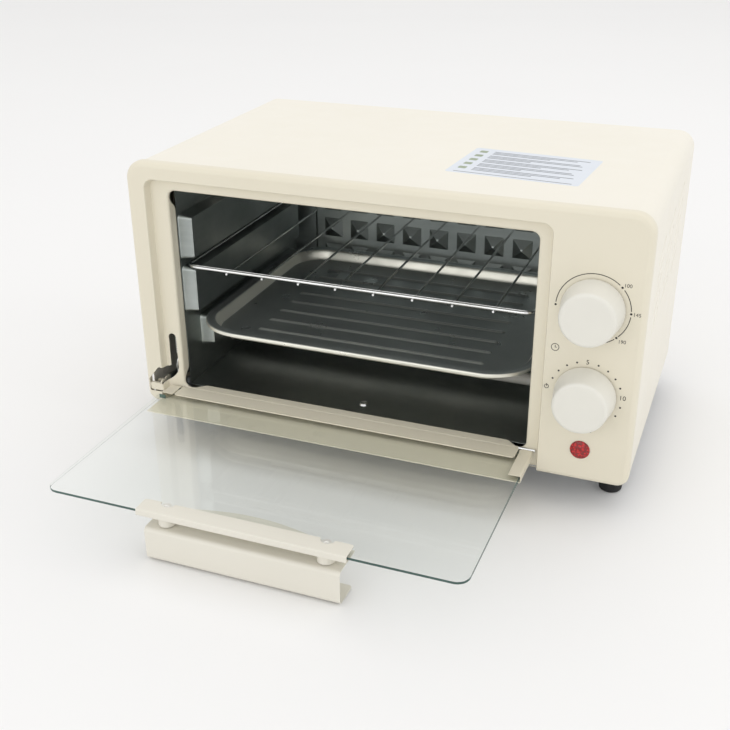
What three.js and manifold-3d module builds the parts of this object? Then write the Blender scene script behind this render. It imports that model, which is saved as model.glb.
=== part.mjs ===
// Two-slice toaster oven, standing with its glass door fully open.
// Millimetres, +Z up. X runs along the front, from the hinge spring's side to the knobs.
// The front faces -Y. Z is 0 at the soles of the feet.
import * as THREE from "three";
import { mergeVertices } from "three/addons/utils/BufferGeometryUtils.js";
import Module from "manifold-3d";

const wasm = await Module();
wasm.setup();

// Driving dimensions. While the parts are made, Y is 0 at the bezel's front face.
const SHEET = 0.7; // painted steel of the body
const LINER = 0.6; // aluminised steel of the oven cavity
const GAP = 0.3; // between parts that touch

const BODY = { half: 175, bottom: 22, top: 202.5, depth: 215, corner: 13, lowCorner: 8 };
const BEZEL = { depth: 7, edge: 4, recess: 6, flange: 8 };
const COVER_STEP = 1.2; // how far the cover stands back from the bezel's outline
const RECESS = { left: -160.2, right: 115.8, top: 190.3, corner: 6 };
const MOUTH = { left: -146.5, right: 107.3, sill: 34.5, top: 182.7, corner: 5 };
const CAVITY = { left: -146.5, right: 112.9, front: 15, back: 204.5, floor: 33.2, top: 187, emboss: 9.5 };
const GUIDES = [
  { front: 16, bottom: 129.5, top: 163 },
  { front: 16, bottom: 89.5, top: 125 },
  { front: 35, bottom: 56, top: 81 },
];
const RIGHT_GUIDE_FRONT = 35;
const HEATERS = [
  { name: "upper_front", y: 72, z: 171 },
  { name: "upper_rear", y: 138, z: 171 },
  { name: "lower_front", y: 84, z: 46 },
  { name: "lower_rear", y: 150, z: 46 },
];
const HEATER_RADIUS = 4.5;
const RACK = { left: -141.5, right: 105.4, front: 14, back: 190, z: 126.8 };
const WIRES = { frame: 1.4, cross: 1, count: 8, pitch: 27 };
const TRAY = { left: -139.2, right: 106.5, front: 5.4, back: 196, rim: 84.2, floor: 76 };
const TUB = { corner: 35, wall: 0.8, lip: 6.5 };
const HINGE = { y: 4.75, z: 35.25, pin: 1.6, hole: 1.9 };
const GLASS = { left: -158.5, right: 112, front: -145, back: 3.6, top: 34.8, thick: 3, corner: 8 };
const RAIL = { sheet: 0.8, front: -30, strip: -9, back: 4.6, stripEnd: 103.5 };
const HANDLE = { centre: -25, clampHalf: 68, barHalf: 63.5, screwHalf: 52, screwY: -137, sheet: 1.2 };
const BAR = { front: -146.2, topBack: -131, bottomBack: -127, bottom: 0.4, top: 23.5 };
const DIAL_X = 143.3;
const DIALS = { thermostat: 141.4, timer: 83.7 };
const KNOB = { base: 19.3, face: 17.2, height: 20, stand: 0.8 };
const LAMP_Z = 45;
const LEVER_X = -153.3;
const FOOT = { x: 160.5, frontY: 35, rearY: 185, radius: 8 };
const GLAND = { x: 140, z: 48, end: 223 };
const CLAMP_FRONT = GLASS.front - 0.4 - RAIL.sheet;
const CENTRE_X = -14.9; // of the wires, the stamped back wall and the floor

// colour, roughness, metalness
const FINISHES = {
  cream: [0xe9e2cf, 0.42, 0.0],
  zinc: [0xa9adb0, 0.45, 0.9],
  liner: [0x59625f, 0.4, 0.85],
  tray: [0x4a5152, 0.45, 0.6],
  chrome: [0xd5d8da, 0.15, 1.0],
  quartz: [0xd9d6cd, 0.35, 0.0],
  ceramic: [0xe8e4da, 0.7, 0.0],
  glass: [0xbfd2c8, 0.05, 0.0],
  knob: [0xe3e0d8, 0.5, 0.0],
  lens: [0xb3141c, 0.2, 0.0],
  black: [0x161616, 0.75, 0.0],
  phenolic: [0x2c2622, 0.6, 0.0],
};

// Solids

function solid(geometry) {
  const bare = geometry.clone();
  bare.deleteAttribute("normal");
  bare.deleteAttribute("uv");
  const merged = mergeVertices(bare, 1e-4);
  const vertProperties = merged.attributes.position.array;
  const triVerts = new Uint32Array(merged.index.array);
  return new wasm.Manifold(new wasm.Mesh({ numProp: 3, vertProperties, triVerts }));
}

function join(pieces) {
  return pieces.reduce((sum, piece) => sum.add(piece));
}

function cut(body, tools) {
  return tools.reduce((rest, tool) => rest.subtract(tool), body);
}

function box(x0, x1, y0, y1, z0, z1) {
  const geometry = new THREE.BoxGeometry(x1 - x0, y1 - y0, z1 - z0);
  return solid(geometry.translate((x0 + x1) / 2, (y0 + y1) / 2, (z0 + z1) / 2));
}

function extrude(shape, depth, options = {}) {
  return new THREE.ExtrudeGeometry(shape, { depth, bevelEnabled: false, curveSegments: 3, ...options });
}

// A shape drawn in (x, y), from z0 up to z1.
function plateZ(shape, z0, z1) {
  return solid(extrude(shape, z1 - z0).translate(0, 0, z0));
}

// A shape drawn in (x, z), from y0 back to y1.
function plateY(shape, y0, y1, options = {}) {
  return solid(extrude(shape, y1 - y0, options).rotateX(Math.PI / 2).translate(0, y1, 0));
}

// A shape drawn in (y, z), from x0 to x1.
function plateX(shape, x0, x1) {
  const turn = new THREE.Matrix4().set(0, 0, 1, x0, 1, 0, 0, 0, 0, 1, 0, 0, 0, 0, 0, 1);
  return solid(extrude(shape, x1 - x0).applyMatrix4(turn));
}

function rodX(x0, x1, y, z, radius, sides = 16) {
  const geometry = new THREE.CylinderGeometry(radius, radius, x1 - x0, sides).rotateZ(Math.PI / 2);
  return solid(geometry.translate((x0 + x1) / 2, y, z));
}

function rodY(y0, y1, x, z, radius, sides = 16) {
  return solid(new THREE.CylinderGeometry(radius, radius, y1 - y0, sides).translate(x, (y0 + y1) / 2, z));
}

function rodZ(z0, z1, x, y, radius, sides = 16) {
  const geometry = new THREE.CylinderGeometry(radius, radius, z1 - z0, sides).rotateX(Math.PI / 2);
  return solid(geometry.translate(x, y, (z0 + z1) / 2));
}

// Turned about Y from a profile of [radius, height], drawn either way round.
function lathe(profile, sides) {
  const points = profile.map(([radius, height]) => new THREE.Vector2(radius, height));
  if (THREE.ShapeUtils.isClockWise(points)) points.reverse();
  return new THREE.LatheGeometry(points, sides);
}

// The heights of this profile are along Y.
function turnedY(profile, x, z, sides = 32) {
  return solid(lathe(profile, sides).translate(x, 0, z));
}

// The heights of this profile are along Z.
function turnedZ(profile, x, y, sides = 24) {
  return solid(lathe(profile, sides).rotateX(Math.PI / 2).translate(x, y, 0));
}

function tube(points, radius, steps = 24) {
  const path = new THREE.CatmullRomCurve3(points.map((p) => new THREE.Vector3(...p)));
  const section = new THREE.Shape().absarc(0, 0, radius, 0, 2 * Math.PI);
  return solid(extrude(section, 1, { extrudePath: path, steps, curveSegments: 4 }));
}

// Outlines

function outline(points) {
  return new THREE.Shape(points.map(([a, b]) => new THREE.Vector2(a, b)));
}

// A rectangle with its four corners rounded by radii [low-left, low-right, high-right, high-left].
function roundedRect(a0, a1, b0, b1, radii) {
  const [r0, r1, r2, r3] = Array.isArray(radii) ? radii : [radii, radii, radii, radii];
  const quarter = Math.PI / 2;
  const shape = new THREE.Shape().moveTo(a0, b0 + r0);
  if (r0) shape.absarc(a0 + r0, b0 + r0, r0, 2 * quarter, 3 * quarter);
  shape.lineTo(a1 - r1, b0);
  if (r1) shape.absarc(a1 - r1, b0 + r1, r1, 3 * quarter, 4 * quarter);
  shape.lineTo(a1, b1 - r2);
  if (r2) shape.absarc(a1 - r2, b1 - r2, r2, 0, quarter);
  shape.lineTo(a0 + r3, b1);
  if (r3) shape.absarc(a0 + r3, b1 - r3, r3, quarter, 2 * quarter);
  return shape;
}

function pill(a0, a1, b0, b1) {
  return roundedRect(a0, a1, b0, b1, Math.min(a1 - a0, b1 - b0) / 2 - 0.1);
}

// A slab along Y whose front edge is rounded by a given radius.
function softFrontSlab(inset, y0, y1, edge) {
  const half = BODY.half - inset;
  const low = BODY.lowCorner - inset;
  const high = BODY.corner - inset;
  const shape = roundedRect(-half, half, BODY.bottom + inset, BODY.top - inset, [low, low, high, high]);
  const size = { bevelThickness: edge, bevelSize: edge, bevelOffset: -edge };
  const bevel = { bevelEnabled: true, bevelSegments: 4, ...size };
  const geometry = extrude(shape, y1 - y0, bevel).rotateX(Math.PI / 2).translate(0, y1 + edge, 0);
  return solid(geometry).subtract(box(-200, 200, y1, y1 + 3 * edge, 0, 250));
}

// Outer body

// The flange folded inwards along one side of the mouth, with its ends cut back.
function mouthFlanges() {
  const root = BEZEL.recess + SHEET / 2;
  const tip = BEZEL.recess + BEZEL.flange;
  const taper = 8;
  const edges = (low, high) => [[low, root], [high, root], [high - taper, tip], [low + taper, tip]];
  const flipped = (low, high) => edges(low, high).map(([along, y]) => [y, along]).reverse();
  const c = MOUTH.corner;
  const side = outline(flipped(MOUTH.sill + c, MOUTH.top - c));
  const above = outline(edges(MOUTH.left + c, MOUTH.right - c));
  const below = outline(edges(MOUTH.left + c, MOUTH.right - c - 1));
  return [
    plateX(side, MOUTH.left - SHEET, MOUTH.left),
    plateX(side, MOUTH.right, MOUTH.right + SHEET),
    plateZ(above, MOUTH.top, MOUTH.top + SHEET),
    plateZ(below, MOUTH.sill - SHEET, MOUTH.sill),
  ];
}

// Cut-outs through the recess at both lower corners, where the hinge ears and the spring lever swing.
function hingeCutouts() {
  const y0 = -1;
  const y1 = BEZEL.recess + SHEET + 1;
  const slot = pill(-156.4, -150, 47.5, 76.5);
  const lobe = outline([
    [-173, 31], [-150.5, 31], [-150.5, 39.5], [-154, 43], [-150.4, 47.4],
    [-150.4, 52], [-156, 51], [-159, 49.6], [-163.5, 51], [-173, 39.5],
  ]);
  const right = box(102.5, RECESS.right + SHEET + GAP, BEZEL.recess - 4, y1, 31, 39.5);
  return [plateY(slot, y0, y1), plateY(lobe, y0, y1), right];
}

function frontBezel() {
  const skin = softFrontSlab(0, 0, BEZEL.depth, BEZEL.edge);
  const hollow = softFrontSlab(SHEET, SHEET, BEZEL.depth + 1, BEZEL.edge - SHEET);
  const pocket = (grow) =>
    roundedRect(RECESS.left - grow, RECESS.right + grow, 0, RECESS.top + grow, RECESS.corner + grow);
  const block = plateY(pocket(SHEET), SHEET / 2, BEZEL.recess + SHEET).intersect(skin);
  const mouth = roundedRect(MOUTH.left, MOUTH.right, MOUTH.sill, MOUTH.top, MOUTH.corner);
  const shell = cut(skin.subtract(hollow).add(block), [
    plateY(pocket(0), -1, BEZEL.recess),
    plateY(mouth, BEZEL.recess - 1, BEZEL.recess + SHEET + 0.01),
  ]);
  const holes = [
    rodY(-1, 2, DIAL_X, DIALS.thermostat, 4.5, 24),
    rodY(-1, 2, DIAL_X, DIALS.timer, 4.5, 24),
    rodY(-1, 2, DIAL_X, LAMP_Z, 5.4, 24),
  ];
  return cut(join([shell, ...mouthFlanges()]), [...holes, ...hingeCutouts()]);
}

// Slanted ventilation slots in the side beside the controls.
function sideSlots() {
  const slots = [];
  for (let column = 0; column < 3; column++) {
    for (let row = 0; row < 5; row++) {
      const slot = extrude(pill(-14, 14, -1.3, 1.3), 8, { curveSegments: 1 }).rotateZ(0.33);
      const turn = new THREE.Matrix4().set(0, 0, 1, BODY.half - 5, 1, 0, 0, 0, 0, 1, 0, 0, 0, 0, 0, 1);
      slots.push(solid(slot.applyMatrix4(turn).translate(0, 62 + 46 * column, 113 + 12 * row + 5 * column)));
    }
  }
  return slots;
}

function outerCover() {
  const section = (inset) => {
    const half = BODY.half - COVER_STEP - inset;
    const r = BODY.corner - COVER_STEP - inset;
    return roundedRect(-half, half, BODY.bottom - inset, BODY.top - COVER_STEP - inset, [0, 0, r, r]);
  };
  const y0 = BEZEL.depth + GAP;
  const hollow = plateY(section(SHEET), y0 - 1, BODY.depth + 1);
  return cut(plateY(section(0), y0, BODY.depth).subtract(hollow), sideSlots());
}

function footPlaces() {
  const places = [];
  for (const [end, y] of [["front", FOOT.frontY], ["rear", FOOT.rearY]]) {
    places.push({ name: end + "_left", x: -FOOT.x, y });
    places.push({ name: end + "_right", x: FOOT.x, y });
  }
  return places;
}

function basePlate() {
  const half = BODY.half - COVER_STEP - SHEET - 0.8;
  const y1 = BODY.depth - 2.6;
  const z0 = BODY.bottom;
  const channel = outline([
    [-half, z0], [half, z0], [half, z0 + 9], [half - SHEET, z0 + 9],
    [half - SHEET, z0 + SHEET], [SHEET - half, z0 + SHEET], [SHEET - half, z0 + 9], [-half, z0 + 9],
  ]);
  const holes = footPlaces().map(({ x, y }) => rodZ(z0 - 1, z0 + 2, x, y, 2.3));
  const vent = (y) => plateZ(roundedRect(-100, 60, y - 2, y + 2, 1), z0 - 1, z0 + 2);
  const vents = [60, 90, 120, 150].map(vent);
  return cut(plateY(channel, BEZEL.depth + GAP, y1), [...holes, ...vents]);
}

function backScrewPlaces() {
  return [[-160, 40], [160, 40], [-160, 180], [160, 180]];
}

function backPanel() {
  const half = BODY.half - COVER_STEP - SHEET - 0.8;
  const y0 = BODY.depth - 2.3;
  const top = BODY.top - COVER_STEP - SHEET - 0.6;
  const panel = roundedRect(-half, half, BODY.bottom + 1.2, top, [1, 1, 10, 10]);
  const louvres = [];
  for (const x of [-110, -50, 10, 70]) {
    for (let row = 0; row < 4; row++) louvres.push(pill(x - 22, x + 22, 150 + 8 * row, 153 + 8 * row));
  }
  const tools = louvres.map((shape) => plateY(shape, y0 - 1, y0 + 2, { curveSegments: 1 }));
  tools.push(rodY(y0 - 1, y0 + 2, GLAND.x, GLAND.z, 6.4, 20));
  for (const [x, z] of backScrewPlaces()) tools.push(rodY(y0 - 1, y0 + 2, x, z, 1.9, 12));
  return cut(plateY(panel, y0, y0 + SHEET), tools);
}

// Oven cavity

// One side wall, drawn with its inner face at x = 0 and the cavity towards +x.
function cavityWall(mirror) {
  const place = (x) => (mirror ? CAVITY.right - x : CAVITY.left + x);
  const slab = (shape, a, b) => plateX(shape, Math.min(place(a), place(b)), Math.max(place(a), place(b)));
  const front = (g) => (mirror ? RIGHT_GUIDE_FRONT : g.front);
  const sheet = roundedRect(CAVITY.front, CAVITY.back, CAVITY.floor + GAP, CAVITY.top - GAP, 1);
  const raised = GUIDES.map((g) => {
    const shape = roundedRect(front(g), 193, g.bottom, g.top, 7);
    return slab(shape, -LINER / 2, CAVITY.emboss);
  });
  const hollows = GUIDES.map((g) => {
    const shape = roundedRect(front(g) + LINER, 193 - LINER, g.bottom + LINER, g.top - LINER, 7 - LINER);
    return slab(shape, -LINER - 1, CAVITY.emboss - LINER);
  });
  if (mirror) {
    const { front: y, floor, top, right } = CAVITY;
    raised.push(box(MOUTH.right + 1, right + LINER / 2, y, y + LINER, floor + 1, top - 1));
  }
  const holes = HEATERS.map(({ y, z }) => rodX(place(0) - 3, place(0) + 3, y, z, HEATER_RADIUS + 1.2));
  return cut(join([slab(sheet, -LINER, 0), ...raised]), [...hollows, ...holes]);
}

function cavityTop() {
  const y1 = CAVITY.back;
  return box(CAVITY.left + GAP, CAVITY.right - GAP, CAVITY.front, y1, CAVITY.top, CAVITY.top + LINER);
}

function cavityFloor() {
  const z0 = CAVITY.floor - LINER;
  const sheet = box(CAVITY.left + GAP, CAVITY.right - GAP, CAVITY.front, CAVITY.back, z0, CAVITY.floor);
  return sheet.subtract(rodZ(z0 - 1, z0 + 2, CENTRE_X, 29, 2, 12));
}

// The back wall has a raised field, stamped with rows of shallow pyramids that point into the cavity.
function cavityBack() {
  const y0 = CAVITY.back + GAP;
  const { left, right, floor, top } = CAVITY;
  let wall = box(left - LINER, right + LINER, y0, y0 + LINER, floor - LINER, top + LINER);
  wall = wall.add(box(-127, 97, y0 - 2.2, y0 + 0.1, floor + 3, top - 3));
  const inside = { low: floor + 3 + LINER, high: top - 3 - LINER };
  wall = wall.subtract(box(-127 + LINER, 97 - LINER, y0 - 2.2 + LINER, y0 + 1, inside.low, inside.high));
  const pyramid = (base, height, x, y, z) => {
    const cone = new THREE.ConeGeometry(base / Math.SQRT2, height, 4).rotateY(Math.PI / 4);
    return solid(cone.rotateX(Math.PI).translate(x, y - height / 2, z));
  };
  for (let column = -4; column <= 4; column++) {
    for (let row = -2; row <= 3; row++) {
      const x = CENTRE_X + column * 23.3;
      const z = 101.5 + row * 23;
      wall = wall.add(pyramid(16, 5, x, y0 - 2.1, z));
      wall = wall.subtract(pyramid(15, 4.7, x, y0 - 2.1 + LINER, z));
    }
  }
  return wall;
}

function heaterHolder(level, mirror) {
  const pair = HEATERS.filter(({ name }) => name.startsWith(level));
  const outer = mirror ? CAVITY.right + LINER + 13 : CAVITY.left - LINER - 13;
  const inner = mirror ? CAVITY.right + LINER + GAP : CAVITY.left - LINER - GAP;
  const block = plateX(
    roundedRect(pair[0].y - 10, pair[1].y + 10, pair[0].z - 9, pair[0].z + 9, 3),
    Math.min(outer, inner),
    Math.max(outer, inner),
  );
  const end = mirror ? outer - 3 : outer + 3;
  const from = Math.min(end, CENTRE_X);
  const to = Math.max(end, CENTRE_X);
  const bores = pair.map(({ y, z }) => rodX(from, to, y, z, HEATER_RADIUS + 0.5));
  return cut(block, bores);
}

function heaterRod({ y, z }) {
  return rodX(CAVITY.left - LINER - 9.5, CAVITY.right + LINER + 9.5, y, z, HEATER_RADIUS);
}

// Rack and tray

function wireRack() {
  const { left: x0, right: x1, front, back, z } = RACK;
  const radius = WIRES.frame;
  const bend = 8;
  const corners = [
    [x0 + bend, front], [x1 - bend, front], [x1, front + bend], [x1, back - bend],
    [x1 - bend, back], [x0 + bend, back], [x0, back - bend], [x0, front + bend],
  ];
  const wires = [];
  corners.forEach(([x, y], i) => {
    const [nextX, nextY] = corners[(i + 1) % corners.length];
    const run = new THREE.Vector3(nextX - x, nextY - y, 0);
    const bar = new THREE.CylinderGeometry(radius, radius, run.length(), 8);
    const along = run.clone().normalize();
    bar.applyQuaternion(new THREE.Quaternion().setFromUnitVectors(new THREE.Vector3(0, 1, 0), along));
    wires.push(solid(bar.translate((x + nextX) / 2, (y + nextY) / 2, z)));
    wires.push(solid(new THREE.SphereGeometry(radius * 1.02, 8, 6).translate(x, y, z)));
  });
  wires.push(rodX(x0 + 2.5, x1 - 2.5, front + 4.5, z - 0.2, 1.1, 8));
  for (let i = 0; i < WIRES.count; i++) {
    const x = CENTRE_X + (i - (WIRES.count - 1) / 2) * WIRES.pitch;
    wires.push(rodY(front - 1.6, back + 1.6, x, z - radius - 0.5, WIRES.cross, 8));
  }
  return join(wires);
}

// The tub inside the lip, which narrows by 4 mm on its way down.
function trayTub(inset, z0, z1) {
  const edge = TUB.lip + inset;
  const { left, right, front, back } = TRAY;
  const shape = roundedRect(left + edge, right - edge, front + edge, back - edge, TUB.corner - edge);
  const height = z1 - z0;
  const slope = { bevelThickness: height - 1, bevelSize: 4, bevelOffset: -4 };
  const taper = { bevelEnabled: true, bevelSegments: 1, ...slope };
  const twice = solid(extrude(shape, 1, taper).translate(0, 0, z1 - 1));
  return twice.subtract(box(-200, 200, -10, 250, z1, z1 + height + 5));
}

function bakingTray() {
  const { left, right, front, back, rim, floor } = TRAY;
  const outside = (g) => roundedRect(left + g, right - g, front + g, back - g, TUB.corner - g);
  const skirt = plateZ(outside(0), rim - 2.6, rim).subtract(plateZ(outside(0.9), rim - 3, rim - 0.9));
  const tub = trayTub(0, floor - TUB.wall, rim - 0.3);
  const ribs = [];
  for (let i = 0; i < 8; i++) {
    const y = 36.5 + 18.2 * i;
    ribs.push(plateZ(pill(CENTRE_X - 84, CENTRE_X + 84, y - 2, y + 2), floor - 0.3, floor + 1.2));
  }
  return join([skirt.add(tub).subtract(trayTub(TUB.wall, floor, rim + 0.4)), ...ribs]);
}

// Door

function doorGlass() {
  const { left, right, front, back, corner, top, thick } = GLASS;
  const shape = new THREE.Shape();
  shape.moveTo(left, front + corner);
  shape.absarc(left + corner, front + corner, corner, Math.PI, 1.5 * Math.PI);
  shape.absarc(right - corner, front + corner, corner, 1.5 * Math.PI, 2 * Math.PI);
  const rear = [
    [right, -1], [103.8, -1], [103.8, back], [-150.6, back], [-150.6, -1], [-153.6, -10], [left, -10],
  ];
  for (const [x, y] of rear) shape.lineTo(x, y);
  const holes = [-1, 1].map((side) =>
    rodZ(top - thick - 1, top + 1, HANDLE.centre + side * HANDLE.screwHalf, HANDLE.screwY, 3),
  );
  return cut(plateZ(shape, top - thick, top), holes);
}

// An ear of the door's rail around the hinge line.
function hingeEar(x) {
  const leg = box(x, x + RAIL.sheet, -0.6, RAIL.back, GLASS.top - GLASS.thick - GAP - RAIL.sheet, HINGE.z + 0.5);
  const eye = rodX(x, x + RAIL.sheet, HINGE.y, HINGE.z, 2.9);
  return leg.add(eye);
}

function doorRail() {
  const z0 = GLASS.top - GLASS.thick - GAP - RAIL.sheet;
  const z1 = GLASS.top + GAP + RAIL.sheet;
  const under = z0 + RAIL.sheet;
  const over = z1 - RAIL.sheet;
  const left = -147;
  const clip = GLASS.right + GAP;
  const pieces = [
    box(-157, clip + RAIL.sheet, RAIL.front, RAIL.back - 0.1, z0, under),
    box(left, RAIL.stripEnd, RAIL.back - RAIL.sheet, RAIL.back, z0, z1),
    box(left, RAIL.stripEnd, RAIL.strip, RAIL.back, over, z1),
    box(clip, clip + RAIL.sheet, RAIL.front, -1.4, z0, z1),
    box(clip - 6, clip + RAIL.sheet, RAIL.front, -1.4, over, z1),
    box(-155, -155 + RAIL.sheet, -8, -0.6, z0, z1),
    box(-155, -149, -8, -0.6, over, z1),
    hingeEar(104.2),
    hingeEar(-152.4),
  ];
  const bores = [[-153, -151], [103.6, 106]].map(([x0, x1]) => rodX(x0, x1, HINGE.y, HINGE.z, HINGE.hole));
  return cut(join(pieces), bores);
}

// The lever on the hinge line that the door spring pulls on, behind the recess.
function springLever() {
  const arm = outline([[2.6, 34.6], [6.6, 33.2], [12.2, 45.4], [11.4, 46.8], [9.6, 46.4]]);
  const plate = plateX(arm, LEVER_X, LEVER_X + 0.6).add(rodX(LEVER_X, LEVER_X + 0.6, HINGE.y, HINGE.z, 3.1));
  return plate.subtract(rodX(-160, -150, HINGE.y, HINGE.z, HINGE.hole));
}

function handleClamp() {
  const z0 = GLASS.top - GLASS.thick - GAP - RAIL.sheet;
  const z1 = GLASS.top + GAP + RAIL.sheet;
  const x0 = HANDLE.centre - HANDLE.clampHalf;
  const x1 = HANDLE.centre + HANDLE.clampHalf;
  const arch = new THREE.Shape().moveTo(x0, CLAMP_FRONT).lineTo(x1, CLAMP_FRONT).lineTo(x1, -133);
  arch.bezierCurveTo(x1 - 30, -131, HANDLE.centre + 30, -123, HANDLE.centre, -123);
  arch.bezierCurveTo(HANDLE.centre - 30, -123, x0 + 30, -131, x0, -133);
  const bent = join([
    plateZ(arch, z0, z0 + RAIL.sheet),
    box(x0, x1, CLAMP_FRONT, CLAMP_FRONT + RAIL.sheet, z0, z1),
    box(x0, x1, CLAMP_FRONT, -134, z1 - RAIL.sheet, z1),
  ]);
  const tools = [];
  for (const side of [-1, 1]) {
    const x = HANDLE.centre + side * HANDLE.screwHalf;
    tools.push(rodZ(z0 - 1, z1 - 1.5, x, HANDLE.screwY, 2.4));
    tools.push(rodZ(z1 - 2, z1 + 1, x, HANDLE.screwY + 1.5, 4));
  }
  return cut(bent, tools);
}

function handleBar() {
  const { front, topBack, bottomBack, bottom, top } = BAR;
  const t = HANDLE.sheet;
  const r = 3;
  const section = new THREE.Shape().moveTo(front, bottom + r);
  section.absarc(front + r, bottom + r, r, Math.PI, 1.5 * Math.PI);
  section.lineTo(bottomBack, bottom);
  section.lineTo(bottomBack, bottom + t);
  section.lineTo(front + r, bottom + t);
  section.absarc(front + r, bottom + r, r - t, 1.5 * Math.PI, Math.PI, true);
  section.absarc(front + r, top - r, r - t, Math.PI, Math.PI / 2, true);
  section.lineTo(topBack, top - t);
  section.lineTo(topBack, top);
  section.lineTo(front + r, top);
  section.absarc(front + r, top - r, r, Math.PI / 2, Math.PI);
  const bar = plateX(section, HANDLE.centre - HANDLE.barHalf, HANDLE.centre + HANDLE.barHalf);
  const holes = [-1, 1].map((side) =>
    rodZ(top - 3, top + 1, HANDLE.centre + side * HANDLE.screwHalf, HANDLE.screwY, 2.4),
  );
  return cut(bar, holes);
}

function handleSpacer(x) {
  const z1 = GLASS.top - GLASS.thick - RAIL.sheet - 2 * GAP;
  const body = rodZ(BAR.top + GAP, z1, x, HANDLE.screwY, 5.5, 24);
  return body.subtract(rodZ(BAR.top, z1 + 1, x, HANDLE.screwY, 2.4));
}

function handleScrew(x) {
  const under = BAR.top - HANDLE.sheet - GAP;
  const tip = GLASS.top + 0.6;
  const profile = [
    [0, under - 1.8], [3, under - 1.8], [3.6, under - 1.2], [3.6, under], [1.9, under], [1.9, tip], [0, tip],
  ];
  return turnedZ(profile, x, HANDLE.screwY, 16);
}

function hingePin(x0, x1) {
  return rodX(x0, x1, HINGE.y, HINGE.z, HINGE.pin);
}

// A bracket behind the bezel that carries one hinge pin.
function hingeBracket(side) {
  const x = side < 0 ? -164.2 : 117.4;
  const wing = side < 0 ? [-171, x + 1] : [x, 126.5];
  const wall = plateX(roundedRect(7.5, 14.5, 28, 39, 2), x, x + 1);
  const arm = box(x, x + 1, HINGE.y, 9, HINGE.z - 3, HINGE.z + 3);
  const nose = rodX(x, x + 1, HINGE.y, HINGE.z, 3.6).add(arm);
  const pieces = [wall, nose, plateY(roundedRect(wing[0], wing[1], 29, 37, 2.5), 8, 9)];
  if (side < 0) {
    pieces.push(plateY(roundedRect(-172.2, x + 1, 31.6, 37, 1.2), 1.8, 2.7));
    pieces.push(box(x, x + 1, 1.8, HINGE.y, 32.2, 36.4));
  }
  return join(pieces).subtract(rodX(x - 2, x + 3, HINGE.y, HINGE.z, HINGE.hole));
}

// The door spring, hooked to its lever and to a tab high up beside the cavity.
function doorSpring() {
  const coil = rodZ(56, 104, -153.2, 12.5, 2.8);
  const lower = tube([[-154.25, 10.9, 44.6], [-154.25, 10.9, 48], [-153.6, 11.6, 53], [-153.2, 12.5, 57]], 0.6, 10);
  const upper = tube([[-153.2, 12.5, 103], [-153.2, 12.5, 108], [-152.6, 12.5, 111]], 0.6, 6);
  return join([coil, lower, upper]);
}

// Controls

function dialKnob(z) {
  const { base, face, height, stand } = KNOB;
  const back = -stand;
  const front = -height;
  const profile = [
    [0, front], [face - 1.6, front], [face - 0.5, front + 0.4], [face, front + 1.5],
    [base - 0.3, back - 3], [base, back - 1.5], [base, back], [base - 2, back], [face - 3, front + 4],
    [6, front + 4], [6, back], [3.3, back], [3.3, front + 5], [0, front + 5],
  ];
  return turnedY(profile, DIAL_X, z, 40);
}

function dialShaft(z) {
  return rodY(-KNOB.height + 5.6, 9, DIAL_X, z, 3);
}

function controlBracket() {
  const plate = plateY(roundedRect(124, 163, 58, 168, 4), 8, 9);
  return cut(plate, Object.values(DIALS).map((z) => rodY(7, 10, DIAL_X, z, 4.5, 20)));
}

function thermostatBody() {
  return plateY(roundedRect(126, 161, 124, 159, 3), 9 + GAP, 27);
}

function timerBody() {
  return plateY(roundedRect(123, 163, 64, 104, 4), 9 + GAP, 38);
}

function timerBell() {
  const y = 38 + GAP;
  const profile = [[0, y + 9], [8, y + 8.4], [15, y + 5], [17, y], [16, y], [14, y + 4], [0, y + 7]];
  return turnedY(profile, DIAL_X, DIALS.timer, 24);
}

function indicatorLens() {
  const profile = [[0, -1.6], [4, -1.4], [5.6, -0.9], [6.3, -GAP], [5, -GAP], [5, 10], [0, 10]];
  return turnedY(profile, DIAL_X, LAMP_Z, 28);
}

// Small parts

function foot({ x, y }) {
  const top = BODY.bottom - GAP;
  const r = FOOT.radius;
  const profile = [
    [2.4, 5.5], [4.5, 5.5], [4.5, 0], [r - 1.4, 0], [r - 0.5, 0.8], [r - 0.3, 2],
    [r + 1, top - 2], [r + 1, top], [2.4, top], [2.4, 5.5],
  ];
  return turnedZ(profile, x, y);
}

function footScrew({ x, y }) {
  const z = 5.5 - GAP;
  const tip = BODY.bottom + 5;
  const profile = [[0, z - 2], [3.4, z - 2], [3.8, z - 1.2], [3.8, z], [1.9, z], [1.9, tip], [0, tip]];
  return turnedZ(profile, x, y, 16);
}

function backScrew([x, z]) {
  const y = BODY.depth - 2.3 + SHEET + GAP;
  const profile = [[0, y + 1.4], [2.4, y + 1.2], [3.4, y], [1.5, y], [1.5, y - 8], [0, y - 8]];
  return turnedY(profile, x, z, 16);
}

function cordGland() {
  const y = BODY.depth - 2.3;
  const end = GLAND.end;
  const profile = [
    [3.2, y - 3], [6, y - 3], [6, y + SHEET + GAP], [9, y + SHEET + GAP], [9, y + 3.5],
    [7.5, end - 1], [6.5, end], [3.2, end], [3.2, y - 3],
  ];
  return turnedY(profile, GLAND.x, GLAND.z, 24);
}

function floorScrew() {
  const z = CAVITY.floor + GAP;
  const profile = [[0, z - 8], [1.6, z - 8], [1.6, z], [3.6, z], [2.6, z + 1.3], [0, z + 1.7]];
  return turnedZ(profile, CENTRE_X, 29, 16);
}

function terminalBlock() {
  const base = BODY.bottom + SHEET + GAP;
  return plateZ(roundedRect(133, 157, 140, 174, 2), base, base + 13);
}

function supplyWire() {
  const { x, z } = GLAND;
  return tube([[x, 208, z], [x, 200, 52], [x, 184, 50], [x, 168, 39.5]], 2.2, 14);
}

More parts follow.
